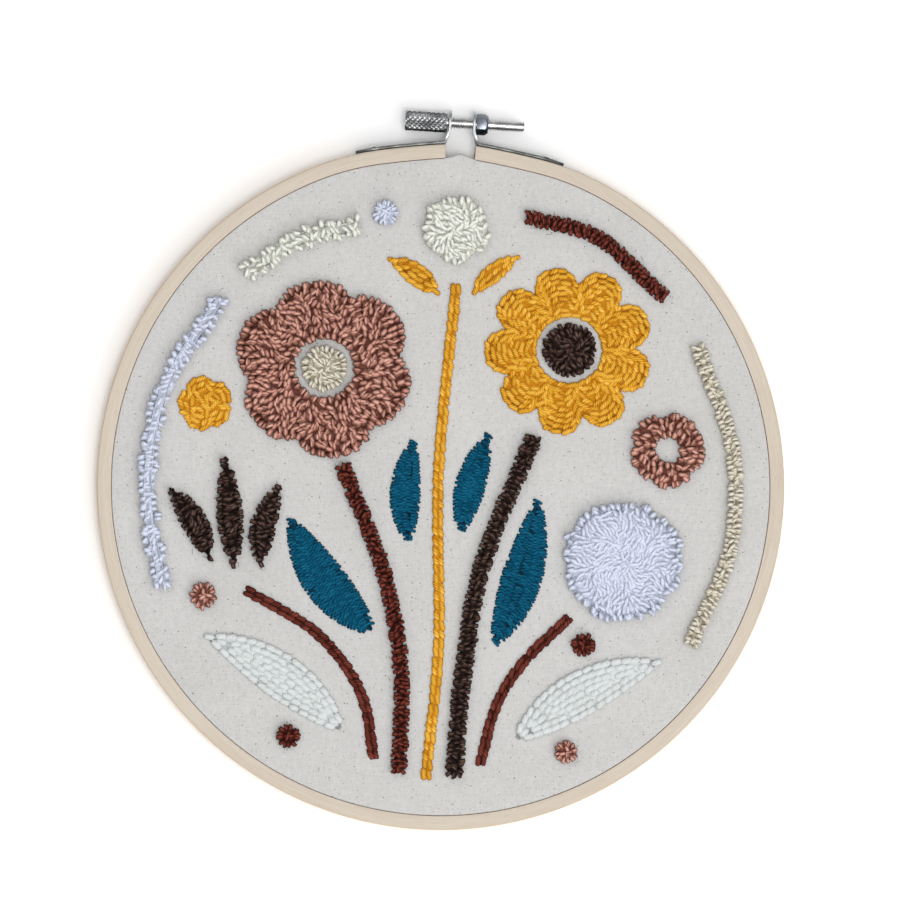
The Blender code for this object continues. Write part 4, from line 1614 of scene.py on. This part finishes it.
@dataclass
class Embroidery:
    """All the stitched patches, a piece each, on the front and back of the cloth.

    Lengths are in millimetres, but for bed_round and bed_root. variants are the turns of the plies, in
    degrees, of the shapes that each strand comes in. A sink is how deep a stitch's feet stand in the cloth.
    """

    strands: dict[Strand, list[Shape]] = field(default_factory=dict)
    finishes: dict[str, bpy.types.Material] = field(default_factory=dict)
    top_z: float = CLOTH_HIGH.z / MM
    back_z: float = INNER_HIGH.z / MM + 0.3
    variants: tuple[float, ...] = (0.0, 14.0, -18.0)
    bed_inset: float = 0.27
    bed_round: float = 0.3 * MM
    bed_root: float = 0.1 * MM
    small_radius: float = 5.0
    sizes: tuple[float, float] = (0.92, 1.08)
    flat_looseness: float = 0.12
    pile_looseness: float = 0.2
    edge_sink: float = 0.25
    inner_sink: float = 0.1
    more_sink: float = 0.15
    back_pitch: float = 2.1
    back_inset: float = 1.1
    back_spacing: float = 2.7

    def shapes(self, strand: Strand) -> list[Shape]:
        """Models the variants of a strand, once.

        Args:
            strand: The strand.

        Returns:
            A shape for each variant.
        """
        if strand not in self.strands:
            self.strands[strand] = [strand.made(turn) for turn in self.variants]
        return self.strands[strand]

    def style(self, patch: Patch) -> Stitching:
        """How a patch is stitched, which is finer in a small dot."""
        small = isinstance(patch, Bloom) and patch.radius < self.small_radius
        return FINE_PILE if small else STITCHINGS[patch.yarn]

    def stitch(self, heap: Heap, patch: Patch, rng: np.random.Generator) -> None:
        """Puts a patch's stitches on the front of the cloth.

        Args:
            heap: Where they are gathered.
            patch: The patch.
            rng: The source of their unevenness.
        """
        style = self.style(patch)
        rows = sorted(patch.rows(style.row_pitch, style.inset), key=lambda row: not row.edge)
        loose = self.flat_looseness if style.lie is Lie.ALONG else self.pile_looseness
        shift = style.strand.size[2] * math.sin(math.radians(style.lean))
        spots = Spots.joined([row.spots(style.spacing, rng, loose, shift) for row in rows])
        spots = spots.apart(style.least_gap)
        count = len(spots.place)
        size = rng.uniform(*self.sizes, count)
        heading, lean = self.attitudes(spots, style, rng)
        sink = np.where(spots.edge, self.edge_sink, self.inner_sink) + rng.uniform(0, self.more_sink, count)
        if style.lie is Lie.PILE:
            astray = np.where(spots.edge, 0.6 * style.stray, 0.2) * style.row_pitch
            spots.place[:] += rng.normal(0, 1, (count, 2)) * astray[:, None]
        places = np.column_stack([spots.place, self.top_z - sink])
        turns = turned(heading, lean, size)
        tones = rng.uniform(0, 1, count)
        kinds = rng.integers(0, len(self.variants), count)
        inner = style.inner or style.strand
        rise = style.strand.size[2] - inner.size[2]
        for members, strand, lift in ((spots.edge, style.strand, 0.0), (~spots.edge, inner, rise)):
            for kind, shape in enumerate(self.shapes(strand)):
                chosen = members & (kinds == kind)
                heap.add(shape, turns[chosen], places[chosen] + [0, 0, lift], tones[chosen])
        self.fuzz(heap, spots, style, rng)

    def attitudes(
        self, spots: Spots, style: Stitching, rng: np.random.Generator
    ) -> tuple[np.ndarray, np.ndarray]:
        """Turns the stitches of a patch the way that they lie, with some unevenness.

        Args:
            spots: Where the stitches are.
            style: How the patch is stitched.
            rng: The source of their unevenness.

        Returns:
            The way that each stitch heads and how far it leans over, in radians.
        """
        count, slant = len(spots.place), math.radians(style.slant)
        if style.lie is Lie.ALONG:
            return spots.heading + slant + rng.normal(0, 0.07, count), rng.normal(0, 0.04, count)
        if style.lie is Lie.ACROSS:
            heading = spots.heading + math.pi / 2 - slant + rng.normal(0, 0.12, count)
            return heading, rng.normal(0, 0.08, count)
        x, y = spots.place.T
        swirl = 0.6 * np.sin(0.5 * x + 1.3) + 0.5 * np.sin(0.62 * y + 0.11 * x)
        heading = spots.outward + np.where(spots.edge, 0, swirl)
        heading = heading + rng.normal(0, 1, count) * np.where(spots.edge, style.stray, 0.25)
        most = math.radians(style.lean)
        lean = np.where(spots.edge, most, rng.uniform(0, 0.5, count) * most) * rng.uniform(0.7, 1.3, count)
        return heading, lean

    def fuzz(self, heap: Heap, spots: Spots, style: Stitching, rng: np.random.Generator) -> None:
        """Lets fine fibres stand out of the pile, all over and past its edges.

        Args:
            heap: Where they are gathered.
            spots: Where the patch's stitches are.
            style: How the patch is stitched.
            rng: The source of their unevenness.
        """
        count = len(spots.place) * style.fibres
        near = np.repeat(spots.place, style.fibres, axis=0) + rng.normal(0, 0.9, (count, 2))
        height = self.top_z + style.strand.size[2] - rng.uniform(0.6, 2.4, count)
        heading, lean = rng.uniform(0, 2 * np.pi, count), rng.uniform(-0.8, 0.8, count)
        turns = turned(heading, lean, rng.uniform(0.6, 1.3, count))
        heap.add(self.shapes(FIBRE)[0], turns, np.column_stack([near, height]), rng.uniform(0.3, 0.9, count))

    def bed(self, heap: Heap, patch: Patch) -> None:
        """Puts the lower part of the pile under the stitches, the node's own mound made lower and coloured with
        painted shade for most yarns.

        Args:
            heap: Where it is gathered.
            patch: The patch.
        """
        style = self.style(patch)
        piece = softened_copy(patch.name, self.bed_round)
        low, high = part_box(patch.name)
        inset = self.bed_inset * (high.z - low.z)
        floor, ceiling = CLOTH_HIGH.z - self.bed_root, CLOTH_HIGH.z + style.bed * (high.z - low.z)
        scale = (ceiling - floor) / (high.z - low.z - 2 * inset)
        with editing(piece):
            bpy.ops.mesh.select_all(action="SELECT")
            bpy.ops.transform.shrink_fatten(value=-inset)
            bpy.ops.transform.resize(value=(1, 1, scale), center_override=(0, 0, low.z + inset))
            bpy.ops.transform.translate(value=(0, 0, floor - low.z - inset))
        points = read_points(piece, "co") / MM - [0, HOOP_Y / MM, 0]
        # The bed takes one value of painted light, which is painted shade under the loops for most yarns
        shape = Shape(points, points, np.full(len(points), style.bed_painted_light), taken_apart(piece))
        heap.add(shape, np.eye(3)[None], np.zeros((1, 3)), np.array([0.4]))

    def back(self, heap: Heap, patch: Patch, rng: np.random.Generator) -> None:
        """Puts the running stitches on the back of the cloth.

        Args:
            heap: Where they are gathered.
            patch: The patch.
            rng: The source of their unevenness.
        """
        rows = patch.rows(self.back_pitch, self.back_inset)
        spots = Spots.joined([row.spots(self.back_spacing, rng, 0.15) for row in rows])
        count = len(spots.place)
        turns = turned(spots.heading + rng.normal(0, 0.1, count), np.zeros(count), np.ones(count))
        turns[:, :, 1:] *= -1
        places = np.column_stack([spots.place, np.full(count, self.back_z + 0.05)])
        heap.add(self.shapes(BACK_STITCH)[0], turns, places, rng.uniform(0, 1, count))

    def build(self) -> None:
        """Makes and dresses every patch."""
        for index, patch in enumerate(STEMS + LEAVES + BLOOMS):
            rng = np.random.default_rng(index + 1)
            heap = Heap()
            self.bed(heap, patch)
            self.stitch(heap, patch, rng)
            self.back(heap, patch, rng)
            if patch.yarn not in self.finishes:
                self.finishes[patch.yarn] = YARNS[patch.yarn].made()
            dress(heap.made(patch.name + "_yarn"), self.finishes[patch.yarn], patch.yarn, "hoop", patch.name)


@dataclass
class Studio:
    """The floor, the lights and the camera."""

    pixel: float = 0.3078 * MM
    picture: int = 900
    hoop_right: float = -8.8
    hoop_up: float = -35.8
    roll: float = math.radians(3.3)
    tilt: float = math.radians(2.5)
    tilt_towards: float = math.radians(225)
    distance: float = 2.0
    sensor: float = 36.0
    world_light: float = 0.5
    horizon: float = 0.12
    floor_size: float = 6.0
    floor_drop: float = 0.0002

    def floor(self) -> None:
        """Lays the plain pale floor."""
        bpy.ops.object.select_all(action="DESELECT")
        bpy.ops.mesh.primitive_plane_add(size=self.floor_size, location=(0, 0, -self.floor_drop))
        floor = bpy.context.object
        floor.name = "floor"
        graph = Graph("floor_paint", Roughness=0.9, Specular_IOR_Level=0.1)
        floor.data.materials.append(graph.finish(Base_Color=linear((252, 252, 252))))

    def world(self) -> None:
        """Lets soft light in from above, less of it towards the horizon."""
        world = bpy.data.worlds.new("studio")
        world.use_nodes = True
        tree = world.node_tree
        background = tree.nodes["Background"]
        background.inputs["Strength"].default_value = self.world_light
        direction = tree.nodes.new("ShaderNodeTexCoord")
        split = tree.nodes.new("ShaderNodeSeparateXYZ")
        ramp = tree.nodes.new("ShaderNodeValToRGB")
        ramp.color_ramp.elements[0].color = (self.horizon, self.horizon, self.horizon, 1)
        ramp.color_ramp.elements[0].position = 0.05
        ramp.color_ramp.elements[1].position = 0.75
        tree.links.new(direction.outputs["Generated"], split.inputs[0])
        tree.links.new(split.outputs["Z"], ramp.inputs["Fac"])
        tree.links.new(ramp.outputs["Color"], background.inputs["Color"])
        bpy.context.scene.world = world

    def lights(self) -> None:
        """Hangs a broad key light at the lower right, a weak fill and a soft light in front."""
        for name, place, size, power in (
            ("key", (0.9, -1.1, 1.7), 1.7, 20.0),
            ("fill", (-0.4, 0.6, 1.8), 1.6, 6.0),
            ("front", (0.15, -0.25, 2.3), 0.7, 21.0),
        ):
            bpy.ops.object.light_add(type="AREA", location=place)
            light = bpy.context.object
            light.name = name
            light.data.size = size
            light.data.energy = power
            light.rotation_euler = Vector(place).to_track_quat("Z", "Y").to_euler()

    def camera(self) -> None:
        """Stands the camera where it sees the hoop as the photograph does."""
        up = Vector((-math.sin(self.roll), math.cos(self.roll), 0))
        right = Vector((math.cos(self.roll), math.sin(self.roll), 0))
        face = Vector((0, HOOP_Y, RING_HIGH.z))
        target = face - right * (self.hoop_right * self.pixel) - up * (self.hoop_up * self.pixel)
        aside = Vector((math.cos(self.tilt_towards), math.sin(self.tilt_towards), 0))
        back = aside * math.sin(self.tilt) + Vector((0, 0, 1)) * math.cos(self.tilt)
        side = up.cross(back).normalized()
        turn = Matrix((side, back.cross(side), back)).transposed().to_4x4()
        data = bpy.data.cameras.new("camera")
        data.sensor_width = self.sensor
        data.lens = self.sensor * self.distance / (self.picture * self.pixel)
        camera = bpy.data.objects.new("camera", data)
        bpy.context.scene.collection.objects.link(camera)
        camera.matrix_world = Matrix.Translation(target + back * self.distance) @ turn
        bpy.context.scene.camera = camera

    def build(self) -> None:
        """Sets the whole studio."""
        self.floor()
        self.world()
        self.lights()
        self.camera()
        bpy.context.scene.view_settings.view_transform = "Standard"


def main() -> None:
    """Builds the hoop, the cloth, the fittings, the embroidery and the studio."""
    logging.basicConfig(level=logging.INFO, format="%(message)s")
    for builder in (WoodenRings(), StretchedCloth(), Fittings(), Embroidery(), Studio()):
        builder.build()
        log.info("%s done", type(builder).__name__)


if __name__ == "__main__":
    main()
